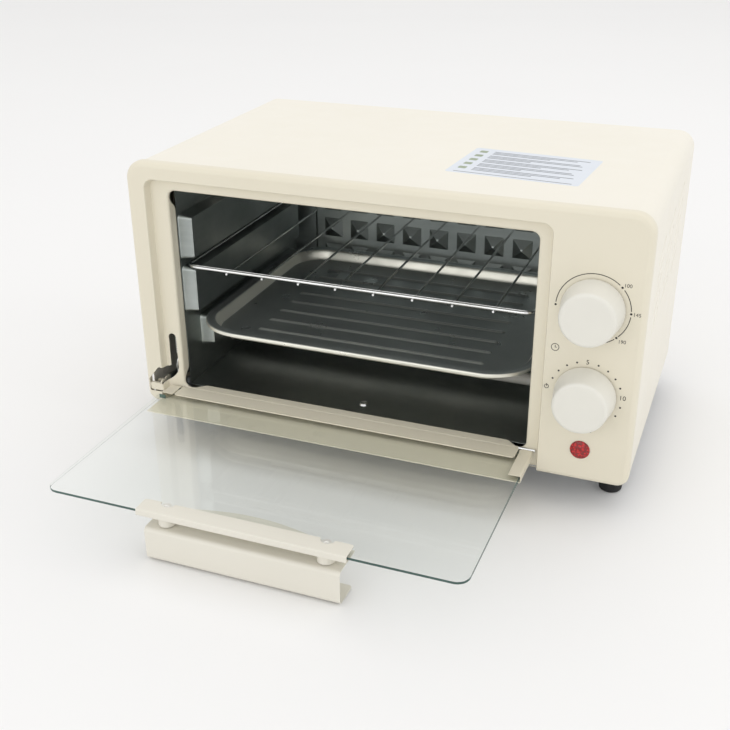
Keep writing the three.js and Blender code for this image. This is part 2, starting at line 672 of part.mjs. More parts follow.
function heaterWire() {
  const points = [[146, 150, 38.5], [142, 140, 60], [134, 115, 100], [133, 105, 140], [133, 100, 165]];
  return tube(points, 1.2, 18);
}

// Assembly

const oven = new THREE.Group();
oven.name = "toaster_oven";
oven.position.y = (-CLAMP_FRONT - GLAND.end) / 2; // the open oven's box is centred on Y = 0

function add(name, manifold, finish) {
  const { vertProperties, triVerts } = manifold.getMesh();
  const geometry = new THREE.BufferGeometry();
  geometry.setAttribute("position", new THREE.BufferAttribute(vertProperties, 3));
  geometry.setIndex(new THREE.BufferAttribute(triVerts, 1));
  const [color, roughness, metalness] = FINISHES[finish];
  const mesh = new THREE.Mesh(geometry, new THREE.MeshStandardMaterial({ color, roughness, metalness }));
  mesh.name = name;
  oven.add(mesh);
}

add("front_bezel", frontBezel(), "cream");
add("outer_cover", outerCover(), "cream");
add("base_plate", basePlate(), "zinc");
add("back_panel", backPanel(), "cream");
add("cavity_left_wall", cavityWall(false), "liner");
add("cavity_right_wall", cavityWall(true), "liner");
add("cavity_top", cavityTop(), "liner");
add("cavity_back", cavityBack(), "liner");
add("cavity_floor", cavityFloor(), "liner");
for (const heater of HEATERS) add("heater_" + heater.name, heaterRod(heater), "quartz");
for (const level of ["upper", "lower"]) {
  add("heater_holder_" + level + "_left", heaterHolder(level, false), "ceramic");
  add("heater_holder_" + level + "_right", heaterHolder(level, true), "ceramic");
}
add("wire_rack", wireRack(), "chrome");
add("baking_tray", bakingTray(), "tray");

add("door_glass", doorGlass(), "glass");
add("door_rail", doorRail(), "cream");
add("hinge_pin_left", hingePin(-168, -151.2), "chrome");
add("hinge_pin_right", hingePin(103.9, 121.5), "chrome");
add("spring_lever", springLever(), "zinc");
add("handle_clamp", handleClamp(), "cream");
add("handle_bar", handleBar(), "cream");
for (const [side, sign] of [["left", -1], ["right", 1]]) {
  const x = HANDLE.centre + sign * HANDLE.screwHalf;
  add("handle_spacer_" + side, handleSpacer(x), "cream");
  add("handle_screw_" + side, handleScrew(x), "chrome");
  add("hinge_bracket_" + side, hingeBracket(sign), "cream");
}
add("door_spring", doorSpring(), "chrome");

for (const [dial, z] of Object.entries(DIALS)) {
  add(dial + "_knob", dialKnob(z), "knob");
  add(dial + "_shaft", dialShaft(z), "zinc");
}
add("control_bracket", controlBracket(), "zinc");
add("thermostat_body", thermostatBody(), "phenolic");
add("timer_body", timerBody(), "zinc");
add("timer_bell", timerBell(), "chrome");
add("indicator_lens", indicatorLens(), "lens");

for (const place of footPlaces()) {
  add("foot_" + place.name, foot(place), "black");
  add("foot_screw_" + place.name, footScrew(place), "zinc");
}
backScrewPlaces().forEach((place, i) => add("back_screw_" + (i + 1), backScrew(place), "chrome"));
add("cord_gland", cordGland(), "black");
add("floor_screw", floorScrew(), "chrome");
add("terminal_block", terminalBlock(), "ceramic");
add("supply_wire", supplyWire(), "black");
add("heater_wire", heaterWire(), "black");

export default oven;
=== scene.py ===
"""Two-slice toaster oven with its glass door open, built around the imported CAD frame."""

import math

import bmesh
import bpy
from mathutils import Matrix, Vector
from mathutils.geometry import delaunay_2d_cdt


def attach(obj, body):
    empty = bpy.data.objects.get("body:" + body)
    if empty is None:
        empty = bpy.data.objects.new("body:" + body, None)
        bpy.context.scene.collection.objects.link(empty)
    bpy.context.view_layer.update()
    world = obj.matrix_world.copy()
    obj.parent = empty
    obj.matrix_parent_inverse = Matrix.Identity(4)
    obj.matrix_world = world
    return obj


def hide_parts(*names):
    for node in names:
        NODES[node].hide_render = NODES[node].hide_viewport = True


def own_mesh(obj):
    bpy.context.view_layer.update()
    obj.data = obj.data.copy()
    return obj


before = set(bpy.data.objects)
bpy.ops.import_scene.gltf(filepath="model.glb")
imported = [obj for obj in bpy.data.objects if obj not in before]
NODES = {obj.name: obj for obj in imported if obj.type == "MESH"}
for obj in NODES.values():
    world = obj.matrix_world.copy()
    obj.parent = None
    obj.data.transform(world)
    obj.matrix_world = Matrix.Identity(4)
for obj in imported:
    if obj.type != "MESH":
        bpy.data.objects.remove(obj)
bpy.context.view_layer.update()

# Sizes are in millimetres unless they are passed to Blender. Y is 0 at the bezel's front face, x at the
# middle of the body, and z at the feet's soles.
MM = 0.001
FRONT_Y = 38.4
CENTRE_X = -14.9
DIAL_X = 143.3
DIALS = {"thermostat": 141.4, "timer": 83.7}
LAMP_Z = 45.0


def P(x, y, z):
    """A point in mm, as metres in the CAD's frame."""
    return (x * MM, (y - FRONT_Y) * MM, z * MM)


# ---------------------------------------------------------------- outlines


def arc(cu, cv, radius, a0, a1, steps):
    return [
        (
            cu + radius * math.cos(math.radians(a0 + (a1 - a0) * i / steps)),
            cv + radius * math.sin(math.radians(a0 + (a1 - a0) * i / steps)),
        )
        for i in range(steps + 1)
    ]


def rounded(u0, u1, v0, v1, radii, inset=0.0, steps=10, marks=()):
    """A rounded rectangle. radii run low-left, low-right, high-right, high-left."""
    radii = radii if isinstance(radii, (list, tuple)) else [radii] * 4
    u0, u1, v0, v1 = u0 + inset, u1 - inset, v0 + inset, v1 - inset
    radii = [max(r - inset, 0.05) for r in radii]
    corners = [(u0, v0, 1, 1, 180), (u1, v0, -1, 1, 270), (u1, v1, -1, -1, 0), (u0, v1, 1, -1, 90)]
    points = []
    for i, (u, v, su, sv, start) in enumerate(corners):
        r = radii[i]
        points += arc(u + su * r, v + sv * r, r, start, start + 90, steps)
        if marks:
            nu, nv, nsu, nsv, _ = corners[(i + 1) % 4]
            nr = radii[(i + 1) % 4]
            a = Vector(points[-1])
            b = Vector((nu + nsu * nr, nv)) if i % 2 == 0 else Vector((nu, nv + nsv * nr))
            run = (b - a).length
            along = (b - a) / run
            points += [tuple(a + along * m) for m in marks]
            points += [tuple(b - along * m) for m in reversed(marks)]
    return points


def circle(cu, cv, radius, sides=24):
    return arc(cu, cv, radius, 0, 360 - 360 / sides, sides - 1)


def depth(u, v, u0, u1, v0, v1, radii):
    """How far a point is inside a rounded rectangle, in mm."""
    radii = radii if isinstance(radii, (list, tuple)) else [radii] * 4
    cu, cv = (u0 + u1) / 2, (v0 + v1) / 2
    r = radii[(0 if u < cu else 1) if v < cv else (3 if u < cu else 2)]
    qu = abs(u - cu) - (u1 - u0) / 2 + r
    qv = abs(v - cv) - (v1 - v0) / 2 + r
    return r - math.hypot(max(qu, 0), max(qv, 0)) - min(max(qu, qv), 0)


def smooth(t):
    t = min(max(t, 0.0), 1.0)
    return t * t * (3 - 2 * t)


def bend(d, radius):
    """How far back a rounded edge of this radius has gone, at distance d from it."""
    if d >= radius:
        return 0.0
    return radius - math.sqrt(max(radius * radius - (radius - max(d, 0)) ** 2, 0))


def smoothed(points, radius, steps=4):
    """A closed outline with its corners rounded."""
    out = []
    n = len(points)
    for i in range(n):
        a, b, c = Vector(points[i - 1]), Vector(points[i]), Vector(points[(i + 1) % n])
        cut = min(radius, (a - b).length * 0.45, (c - b).length * 0.45)
        p, q = b + (a - b).normalized() * cut, b + (c - b).normalized() * cut
        for k in range(steps + 1):
            t = k / steps
            out.append(tuple(p * (1 - t) ** 2 + b * 2 * t * (1 - t) + q * t * t))
    return out


def contains(ring, u, v):
    inside = False
    for i, (x1, y1) in enumerate(ring):
        x0, y0 = ring[i - 1]
        if (y0 > v) != (y1 > v) and u < (x1 - x0) * (v - y0) / (y1 - y0) + x0:
            inside = not inside
    return inside


# ---------------------------------------------------------------- meshes


def finish_mesh(
    name, verts, faces, body, material, replaces=(), thick=0.0, side=-1, sharp=32, bevel=0.0, even=True
):
    """A piece from corners in mm, thickened and bevelled if asked, then dressed and tied to its body."""
    mesh = bpy.data.meshes.new(name)
    mesh.from_pydata([P(*v) for v in verts], [], faces)
    work = bmesh.new()
    work.from_mesh(mesh)
    bmesh.ops.remove_doubles(work, verts=work.verts, dist=1e-6)
    bmesh.ops.dissolve_degenerate(work, dist=1e-6, edges=work.edges)
    work.to_mesh(mesh)
    work.free()
    obj = bpy.data.objects.new(name, mesh)
    bpy.context.scene.collection.objects.link(obj)
    if thick:
        m = obj.modifiers.new("thickness", "SOLIDIFY")
        m.thickness = thick * MM
        m.offset = side
        m.use_even_offset = even
        m.thickness_clamp = 1.0
    if bevel:
        m = obj.modifiers.new("edges", "BEVEL")
        m.width = bevel * MM
        m.segments = 2
        m.limit_method = "ANGLE"
        m.angle_limit = math.radians(50)
    if thick or bevel:
        apply_modifiers(obj)
    shade(obj.data, sharp)
    obj.modifiers.new("normals", "WEIGHTED_NORMAL").keep_sharp = True
    dress(obj, material)
    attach(obj, body)
    if replaces:
        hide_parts(*replaces)
    return obj


def apply_modifiers(obj):
    bpy.context.view_layer.update()
    graph = bpy.context.evaluated_depsgraph_get()
    mesh = bpy.data.meshes.new_from_object(obj.evaluated_get(graph))
    obj.modifiers.clear()
    obj.data = mesh


def shade(mesh, sharp):
    mesh.polygons.foreach_set("use_smooth", [True] * len(mesh.polygons))
    mesh.set_sharp_from_angle(angle=math.radians(sharp))


def dress(obj, material):
    obj.data.materials.clear()
    obj.data.materials.append(material)


def sheet(outline, place, holes=(), loops=(), lines=()):
    """Triangles over a flat outline with holes, whose corners then go where place(u, v) says."""
    points, edges = [], []
    for ring, closed in [(r, True) for r in (outline, *holes, *loops)] + [(r, False) for r in lines]:
        start = len(points)
        points += [Vector(p) for p in ring]
        count = len(ring)
        edges += [(start + i, start + (i + 1) % count) for i in range(count if closed else count - 1)]
    flat, _, faces, *_ = delaunay_2d_cdt(points, edges, [], 0, 1e-4)
    kept = []
    for face in faces:
        u = sum(flat[i][0] for i in face) / len(face)
        v = sum(flat[i][1] for i in face) / len(face)
        if contains(outline, u, v) and not any(contains(h, u, v) for h in holes):
            kept.append(tuple(face))
    used = sorted({i for f in kept for i in f})
    index = {old: new for new, old in enumerate(used)}
    flat = [tuple(flat[i]) for i in used]
    faces = [tuple(index[i] for i in f) for f in kept]
    return [place(u, v) for u, v in flat], faces, flat


def skirt(verts, faces, flat, on_edge, rows):
    """Walls grown from the part of the border where on_edge(u, v) holds, one strip for each row."""
    border = {}
    for face in faces:
        for i, a in enumerate(face):
            b = face[(i + 1) % len(face)]
            if (b, a) in border:
                del border[(b, a)]
            else:
                border[(a, b)] = True
    ring = [(a, b) for a, b in border if on_edge(*flat[a]) and on_edge(*flat[b])]
    current = {i: i for e in ring for i in e}
    for row in rows:
        after = {}
        for i, at in current.items():
            after[i] = len(verts)
            verts.append(row(*flat[i], verts[at]))
            flat.append(flat[i])
        for a, b in ring:
            faces.append((current[b], current[a], after[a], after[b]))
        current = after
    return verts, faces


def turned(profile, sides, centre, axis):
    """A profile of (radius, height) turned about an axis through centre."""
    verts, faces = [], []
    cx, cy, cz = centre
    for r, h in profile:
        for i in range(sides):
            a = 2 * math.pi * i / sides
            c, s = r * math.cos(a), r * math.sin(a)
            places = {
                "x": (cx + h, cy + c, cz + s),
                "y": (cx + c, cy + h, cz + s),
                "z": (cx + c, cy + s, cz + h),
            }
            verts.append(places[axis])
    for j in range(len(profile) - 1):
        for i in range(sides):
            k = (i + 1) % sides
            faces.append((j * sides + i, j * sides + k, (j + 1) * sides + k, (j + 1) * sides + i))
    return verts, faces


def swept(path, radius, sides, closed=False):
    """A round wire along points, with its ends capped unless it is closed."""
    points = [Vector(p) for p in path]
    count = len(points)
    verts, faces = [], []
    normal = None
    for i, p in enumerate(points):
        before = points[i - 1] if i or closed else p
        after = points[(i + 1) % count] if i < count - 1 or closed else p
        along = (after - before).normalized()
        if normal is None:
            normal = along.orthogonal().normalized()
        normal = (normal - along * normal.dot(along)).normalized()
        across = along.cross(normal)
        for k in range(sides):
            a = 2 * math.pi * k / sides
            verts.append(tuple(p + (normal * math.cos(a) + across * math.sin(a)) * radius))
    for i in range(count if closed else count - 1):
        j = (i + 1) % count
        for k in range(sides):
            n = (k + 1) % sides
            faces.append((i * sides + k, i * sides + n, j * sides + n, j * sides + k))
    if not closed:
        faces.append(tuple(reversed(range(sides))))
        faces.append(tuple((count - 1) * sides + k for k in range(sides)))
    return verts, faces


def rounded_path(points, radius, steps, closed=False):
    """A line through points with its corners rounded."""
    out = []
    count = len(points)
    for i in range(count):
        b = Vector(points[i])
        if not closed and i in (0, count - 1):
            out.append(tuple(b))
            continue
        a, c = Vector(points[i - 1]), Vector(points[(i + 1) % count])
        p, q = b + (a - b).normalized() * radius, b + (c - b).normalized() * radius
        for k in range(steps + 1):
            t = k / steps
            out.append(tuple(p * (1 - t) ** 2 + b * 2 * t * (1 - t) + q * t * t))
    return out


def merged(parts):
    verts, faces = [], []
    for v, f in parts:
        start = len(verts)
        verts += v
        faces += [tuple(i + start for i in face) for face in f]
    return verts, faces


class Fold:
    """The line of a folded sheet: corners in a plane, bent with a radius, measured along its length."""

    def __init__(self, corners, radius, steps=6):
        line = [Vector(corners[0])]
        for i in range(1, len(corners) - 1):
            a, b, c = (Vector(corners[i + k]) for k in (-1, 0, 1))
            p, q = (a - b).normalized(), (c - b).normalized()
            half = math.acos(max(-1, min(1, p.dot(q)))) / 2
            cut = radius / math.tan(half)
            centre = b + (p + q).normalized() * (radius / math.sin(half))
            start, end = b + p * cut - centre, b + q * cut - centre
            turn = math.atan2(start.x * end.y - start.y * end.x, start.dot(end))
            for k in range(steps + 1):
                line.append(centre + Matrix.Rotation(turn * k / steps, 2) @ start)
        line.append(Vector(corners[-1]))
        self.points = line
        self.at = [0.0]
        for a, b in zip(line, line[1:]):
            self.at.append(self.at[-1] + (b - a).length)
        self.length = self.at[-1]

    def __call__(self, s):
        for i in range(len(self.at) - 1):
            if s <= self.at[i + 1] or i == len(self.at) - 2:
                t = (s - self.at[i]) / (self.at[i + 1] - self.at[i])
                return self.points[i].lerp(self.points[i + 1], t)

    def lines(self, u0, u1):
        return [[(u0 - 1, s), (u1 + 1, s)] for s in self.at[1:-1]]


# ---------------------------------------------------------------- materials


class Graph:
    """A small helper to write shader nodes in one line each."""

    def __init__(self, name):
        self.material = bpy.data.materials.new(name)
        self.material.use_nodes = True
        self.tree = self.material.node_tree
        self.tree.nodes.clear()
        self.out = self.tree.nodes.new("ShaderNodeOutputMaterial")
        self.where = self.add("TexCoord").outputs["Object"]

    def add(self, kind, inputs=None, **settings):
        node = self.tree.nodes.new("ShaderNode" + kind)
        for key, value in settings.items():
            setattr(node, key, value)
        for key, value in (inputs or {}).items():
            if isinstance(value, bpy.types.NodeSocket):
                self.tree.links.new(value, node.inputs[key])
            else:
                node.inputs[key].default_value = value
        return node

    def stretched(self, x, y, z):
        return self.add("Mapping", {"Vector": self.where, "Scale": (x, y, z)}).outputs[0]

    def noise(self, scale, detail=3.0, rough=0.55, where=None):
        inputs = {"Vector": where or self.where, "Scale": scale, "Detail": detail, "Roughness": rough}
        return self.add("TexNoise", inputs).outputs["Fac"]

    def ramp(self, value, low, high, a, b):
        inputs = {"Value": value, "From Min": low, "From Max": high, "To Min": a, "To Max": b}
        return self.add("MapRange", inputs).outputs[0]

    def mix(self, factor, a, b):
        node = self.add("Mix", data_type="RGBA")
        for i, value in ((0, factor), (6, a), (7, b)):
            if isinstance(value, bpy.types.NodeSocket):
                self.tree.links.new(value, node.inputs[i])
            else:
                node.inputs[i].default_value = value
        return node.outputs[2]

    def worn(self, size=0.0007):
        """0 on flat faces, towards 1 on edges."""
        soft = self.add("Bevel", {"Radius": size}, samples=4).outputs[0]
        plain = self.add("NewGeometry").outputs["Normal"]
        same = self.add("VectorMath", {0: soft, 1: plain}, operation="DOT_PRODUCT").outputs["Value"]
        inputs = {"Value": same, "From Min": 0.97, "From Max": 0.75, "To Min": 0.0, "To Max": 1.0}
        return self.add("MapRange", inputs, clamp=True).outputs[0]

    def bump(self, height, strength, distance, normal=None):
        inputs = {"Height": height, "Strength": strength, "Distance": distance}
        if normal:
            inputs["Normal"] = normal
        return self.add("Bump", inputs).outputs[0]

    def surface(self, shader):
        self.tree.links.new(shader, self.out.inputs["Surface"])
        return self.material

    def principled(self, inputs):
        return self.add("BsdfPrincipled", inputs).outputs[0]


def enamel(name, base, deep, gloss=0.36):
    """Baked enamel on pressed steel: a fine orange peel, faint clouding and slightly rubbed edges."""
    g = Graph(name)
    cloud = g.ramp(g.noise(9, 4), 0.35, 0.65, 0, 1)
    colour = g.mix(cloud, base, deep)
    rubbed = tuple(min(c * 1.06, 1) for c in base[:3]) + (1,)
    colour = g.mix(g.worn(), colour, rubbed)
    rough = g.ramp(g.noise(60, 3), 0.3, 0.7, gloss - 0.05, gloss + 0.06)
    peel = g.bump(g.noise(900, 2), 0.12, 0.0002)
    wave = g.bump(g.noise(22, 2), 0.05, 0.002, peel)
    inputs = {"Base Color": colour, "Roughness": rough, "Normal": wave, "Specular IOR Level": 0.45}
    return g.surface(g.principled(inputs))


def steel(name, base, dark, rough, streak=(6, 300, 300), spots=0.5):
    """Rolled sheet steel: long streaks, tarnish and small spots."""
    g = Graph(name)
    rolled = g.noise(1, 3, 0.6, g.stretched(*streak))
    tarnish = g.noise(14, 5, 0.6)
    fleck = g.add("TexVoronoi", {"Vector": g.where, "Scale": 420.0}).outputs["Distance"]
    colour = g.mix(g.ramp(tarnish, 0.35, 0.7, 0, 1), base, dark)
    colour = g.mix(g.ramp(rolled, 0.4, 0.7, 0, 0.35), colour, base)
    colour = g.mix(g.ramp(fleck, 0.0, 0.12, spots * 0.5, 0), colour, dark)
    bright = tuple(min(c * 1.5 + 0.05, 1) for c in base[:3]) + (1,)
    colour = g.mix(g.worn(), colour, bright)
    shine = g.ramp(tarnish, 0.3, 0.75, rough - 0.06, rough + 0.12)
    grain = g.bump(rolled, 0.08, 0.0004)
    inputs = {"Base Color": colour, "Metallic": 1.0, "Roughness": shine, "Normal": grain}
    return g.surface(g.principled(inputs))


def moulded(name, base, rough, texture, relief, tint, specular=0.4):
    """Moulded plastic, rubber or fired ceramic with a fine surface texture."""
    g = Graph(name)
    dark = tuple(c * (1 - tint) for c in base[:3]) + (1,)
    colour = g.mix(g.ramp(g.noise(30, 4), 0.35, 0.7, 0, 1), base, dark)
    light = tuple(min(c * (1 + tint) + 0.01, 1) for c in base[:3]) + (1,)
    colour = g.mix(g.worn(), colour, light)
    shine = g.ramp(g.noise(90, 3), 0.3, 0.7, rough - 0.05, rough + 0.05)
    grain = g.bump(g.noise(texture, 2), relief, 0.0003)
    inputs = {"Base Color": colour, "Roughness": shine, "Normal": grain, "Specular IOR Level": specular}
    return g.surface(g.principled(inputs))


def coated(name):
    """Baked grey coating on the tray: speckled, a little mottled where it has been heated, with painted light on
    its walls and rim.
    """
    g = Graph(name)
    speck = g.add("TexVoronoi", {"Vector": g.where, "Scale": 800.0}).outputs["Distance"]
    colour = g.mix(g.ramp(g.noise(11, 4), 0.35, 0.7, 0, 1), (0.40, 0.43, 0.42, 1), (0.31, 0.34, 0.335, 1))
    colour = g.mix(g.ramp(speck, 0.0, 0.2, 0.3, 0), colour, (0.5, 0.53, 0.52, 1))
    colour = g.mix(g.worn(0.0005), colour, (0.7, 0.72, 0.7, 1))
    # painted light: faces that turn away from straight up, the tray's walls and rolled rim, are painted towards
    # pale cream where they catch the light
    up = g.add("SeparateXYZ", {0: g.add("NewGeometry").outputs["Normal"]}).outputs["Z"]
    inputs = {"Value": up, "From Min": 0.93, "From Max": 0.6, "To Min": 0.0, "To Max": 0.85}
    colour = g.mix(g.add("MapRange", inputs, clamp=True).outputs[0], colour, (0.86, 0.84, 0.74, 1))
    shine = g.ramp(g.noise(40, 3), 0.3, 0.7, 0.26, 0.4)
    grain = g.bump(speck, 0.1, 0.0002)
    inputs = {"Base Color": colour, "Metallic": 0.75, "Roughness": shine, "Normal": grain}
    return g.surface(g.principled(inputs))


def chrome(name):
    g = Graph(name)
    haze = g.noise(35, 4)
    colour = g.mix(g.ramp(haze, 0.4, 0.75, 0, 1), (0.82, 0.83, 0.83, 1), (0.62, 0.62, 0.6, 1))
    shine = g.ramp(haze, 0.3, 0.75, 0.1, 0.24)
    grain = g.bump(g.noise(500, 2), 0.04, 0.0002)
    inputs = {"Base Color": colour, "Metallic": 1.0, "Roughness": shine, "Normal": grain}
    return g.surface(g.principled(inputs))


def pane(name):
    """Clear float glass: what is behind shows through it, and the surface reflects by angle."""
    g = Graph(name)
    clear = g.add("BsdfTransparent", {"Color": (0.99, 0.999, 0.993, 1)}).outputs[0]
    smear = g.ramp(g.noise(16, 4), 0.4, 0.75, 0.008, 0.06)
    shine = g.add("BsdfGlossy", {"Color": (1, 1, 1, 1), "Roughness": smear}).outputs[0]
    facing = g.add("LayerWeight", {"Blend": 0.5}).outputs["Facing"]
    steep = g.add("Math", {0: facing, 1: 5.0}, operation="POWER").outputs[0]
    share = g.ramp(steep, 0, 1, 0.04, 1)
    return g.surface(g.add("MixShader", {0: share, 1: clear, 2: shine}).outputs[0])


def glass_edge(name):
    g = Graph(name)
    colour = g.mix(g.ramp(g.noise(25, 3), 0.3, 0.7, 0, 1), (0.028, 0.062, 0.054, 1), (0.09, 0.16, 0.14, 1))
    shine = g.ramp(g.noise(300, 2), 0.3, 0.7, 0.12, 0.3)
    grain = g.bump(g.noise(600, 2), 0.1, 0.0002)
    return g.surface(g.principled({"Base Color": colour, "Roughness": shine, "Normal": grain}))


def lens(name):
    g = Graph(name)
    facets = g.add("TexVoronoi", {"Vector": g.where, "Scale": 620.0}).outputs["Distance"]
    colour = g.mix(g.ramp(facets, 0.1, 0.6, 0, 1), (0.70, 0.012, 0.014, 1), (0.22, 0.004, 0.006, 1))
    dome = g.bump(facets, 0.5, 0.0008)
    inputs = {"Base Color": colour, "Roughness": 0.22, "Normal": dome}
    inputs |= {"Coat Weight": 0.25, "Coat Roughness": 0.03}
    return g.surface(g.principled(inputs))


CREAM = enamel("cream_enamel", (0.755, 0.708, 0.58, 1), (0.74, 0.692, 0.562, 1))
# the cover's copy of the cream enamel is painted lighter and less yellow than the bezel's: painted light on the
# cover's top and sides
CREAM_COVER_PAINTED_LIGHT = enamel("cream_enamel_cover_painted_light", (0.835, 0.80, 0.71, 1), (0.82, 0.785, 0.69, 1), 0.42)
CREAM_HANDLE = enamel("cream_enamel_handle", (0.755, 0.728, 0.645, 1), (0.74, 0.712, 0.628, 1), 0.4)
RIVET = steel("rivet_face", (0.86, 0.85, 0.81, 1), (0.76, 0.75, 0.71, 1), 0.55)
ZINC = steel("zinc_plate", (0.58, 0.6, 0.61, 1), (0.42, 0.44, 0.46, 1), 0.34)
LINER = steel(
    "aluminised_liner", (0.45, 0.48, 0.465, 1), (0.31, 0.34, 0.33, 1), 0.34, (8, 8, 260), spots=0.0
)
TRAY = coated("tray_coating")
CHROME = chrome("chrome_wire")
QUARTZ = moulded("quartz_tube", (0.62, 0.6, 0.55, 1), 0.3, 300, 0.06, 0.12, 0.5)
CERAMIC = moulded("ceramic", (0.72, 0.68, 0.6, 1), 0.75, 500, 0.3, 0.1, 0.3)
GLASS = pane("door_glass_face")
GLASS_EDGE = glass_edge("door_glass_edge")
KNOB = moulded("knob_plastic", (0.76, 0.745, 0.68, 1), 0.42, 1100, 0.08, 0.02)
LENS = lens("lamp_lens")
RUBBER = moulded("foot_rubber", (0.018, 0.018, 0.019, 1), 0.62, 900, 0.25, 0.3, 0.3)
PHENOLIC = moulded("phenolic", (0.035, 0.026, 0.022, 1), 0.5, 600, 0.2, 0.3)
INK = moulded("dial_ink", (0.035, 0.034, 0.032, 1), 0.6, 900, 0.05, 0.2, 0.3)
VINYL = moulded("label_vinyl", (0.70, 0.74, 0.80, 1), 0.35, 200, 0.03, 0.03)
PRINT = moulded("label_print", (0.16, 0.17, 0.19, 1), 0.5, 900, 0.05, 0.2)
PRINT_PALE = moulded("label_print_pale", (0.36, 0.42, 0.30, 1), 0.5, 900, 0.05, 0.2)
WIRE = moulded("wire_sleeve", (0.03, 0.03, 0.03, 1), 0.5, 700, 0.1, 0.3)

# ---------------------------------------------------------------- bezel

OUT = (-175, 175, 22, 202.5)
OUT_R = [8, 8, 13, 13]
RECESS = (-160.2, 115.8, -60, 190.3)
MOUTH = (-146.5, 107.3, 34.5, 182.7)
EDGE_R = 4.0
LIP_R = 1.8
STEP = 0.9
BEZEL_BACK = 7.0
COVER_STEP = 1.2
MOUTH_R, RECESS_R = 5, 6
MOUTH_MIDDLE, MOUTH_HALF = (-19.6, 108.6), (126.9, 74.1)
ON_EDGE = 0.02  # how near a corner of the sheet is to a border it belongs to
BEZEL_STEEL, COVER_STEEL = 0.7, 0.7


def bezel():
    def y_at(x, z):
        y = bend(depth(x, z, *OUT, OUT_R), EDGE_R)
        y += 6.0 * smooth((depth(x, z, *RECESS, RECESS_R) + STEP) / (2 * STEP))
        return y + bend(-depth(x, z, *MOUTH, MOUTH_R), LIP_R)

    slot = rounded(-156.4, -150.2, 47.5, 76.5, 3.0, steps=6)
    lobe = smoothed(
        [(-172.6, 30.6), (-161.6, 30.6), (-161.2, 37.6), (-156.4, 40.6), (-152.6, 44.2), (-150.3, 47.6),
         (-150.4, 51.4), (-156.2, 51), (-159, 49.8), (-163.5, 51), (-172.8, 39.5)], 1.8)
    # the slot opens into the lobe at its foot
    throat = [(-156.2, 50), (-150.4, 50), (-150.4, 53), (-156.2, 53)]
    holes = [slot, lobe, throat]
    holes += [circle(DIAL_X, z, 4.5) for z in DIALS.values()] + [circle(DIAL_X, LAMP_Z, 5.3)]
    mouth = rounded(*MOUTH, MOUTH_R, marks=(1.5, 3, 4.5, 6, 7.5, 9, 10.5, 12))
    loops = [rounded(*OUT, OUT_R, i) for i in (0.12, 0.45, 1.0, 1.7, 2.6, 3.4, 4.0)]
    loops += [rounded(*RECESS, RECESS_R, i * STEP) for i in (-1, -0.7, -0.4, -0.1, 0.2, 0.5, 0.8, 1)]
    loops += [rounded(*MOUTH, MOUTH_R, -i) for i in (0.07, 0.25, 0.55, 0.95, 1.4, LIP_R)]
    outline = rounded(*OUT, OUT_R)
    verts, faces, flat = sheet(outline, lambda x, z: (x, y_at(x, z), z), [mouth, *holes], loops)

    def flange(x, z, p):
        """The mouth's inner lip, which is shallower near its corners."""
        from_side = MOUTH_HALF[0] - abs(x - MOUTH_MIDDLE[0])
        from_top = MOUTH_HALF[1] - abs(z - MOUTH_MIDDLE[1])
        along = min(from_side if abs(from_top) < 0.6 else from_top, 30)
        return (x, 8.0 + 6.0 * smooth((along - 6.0) / 9.0) + 0.01, z)

    skirt(verts, faces, flat, lambda x, z: abs(depth(x, z, *MOUTH, MOUTH_R)) < ON_EDGE, [flange])
    rim = [lambda x, z, p: (x, BEZEL_BACK, z)]
    skirt(verts, faces, flat, lambda x, z: abs(depth(x, z, *OUT, OUT_R)) < ON_EDGE, rim)
    replaced = ["front_bezel"]
    finish_mesh(
        "bezel_shell", verts, faces, "body", CREAM, replaced, thick=BEZEL_STEEL, even=False
    )


bezel()

# ---------------------------------------------------------------- cover

COVER_TOP = OUT[3] - COVER_STEP
COVER_HALF = OUT[1] - COVER_STEP
COVER_BACK = 215
LOUVRE_DISH = 0.7
SLOT_TILT = math.radians(19)


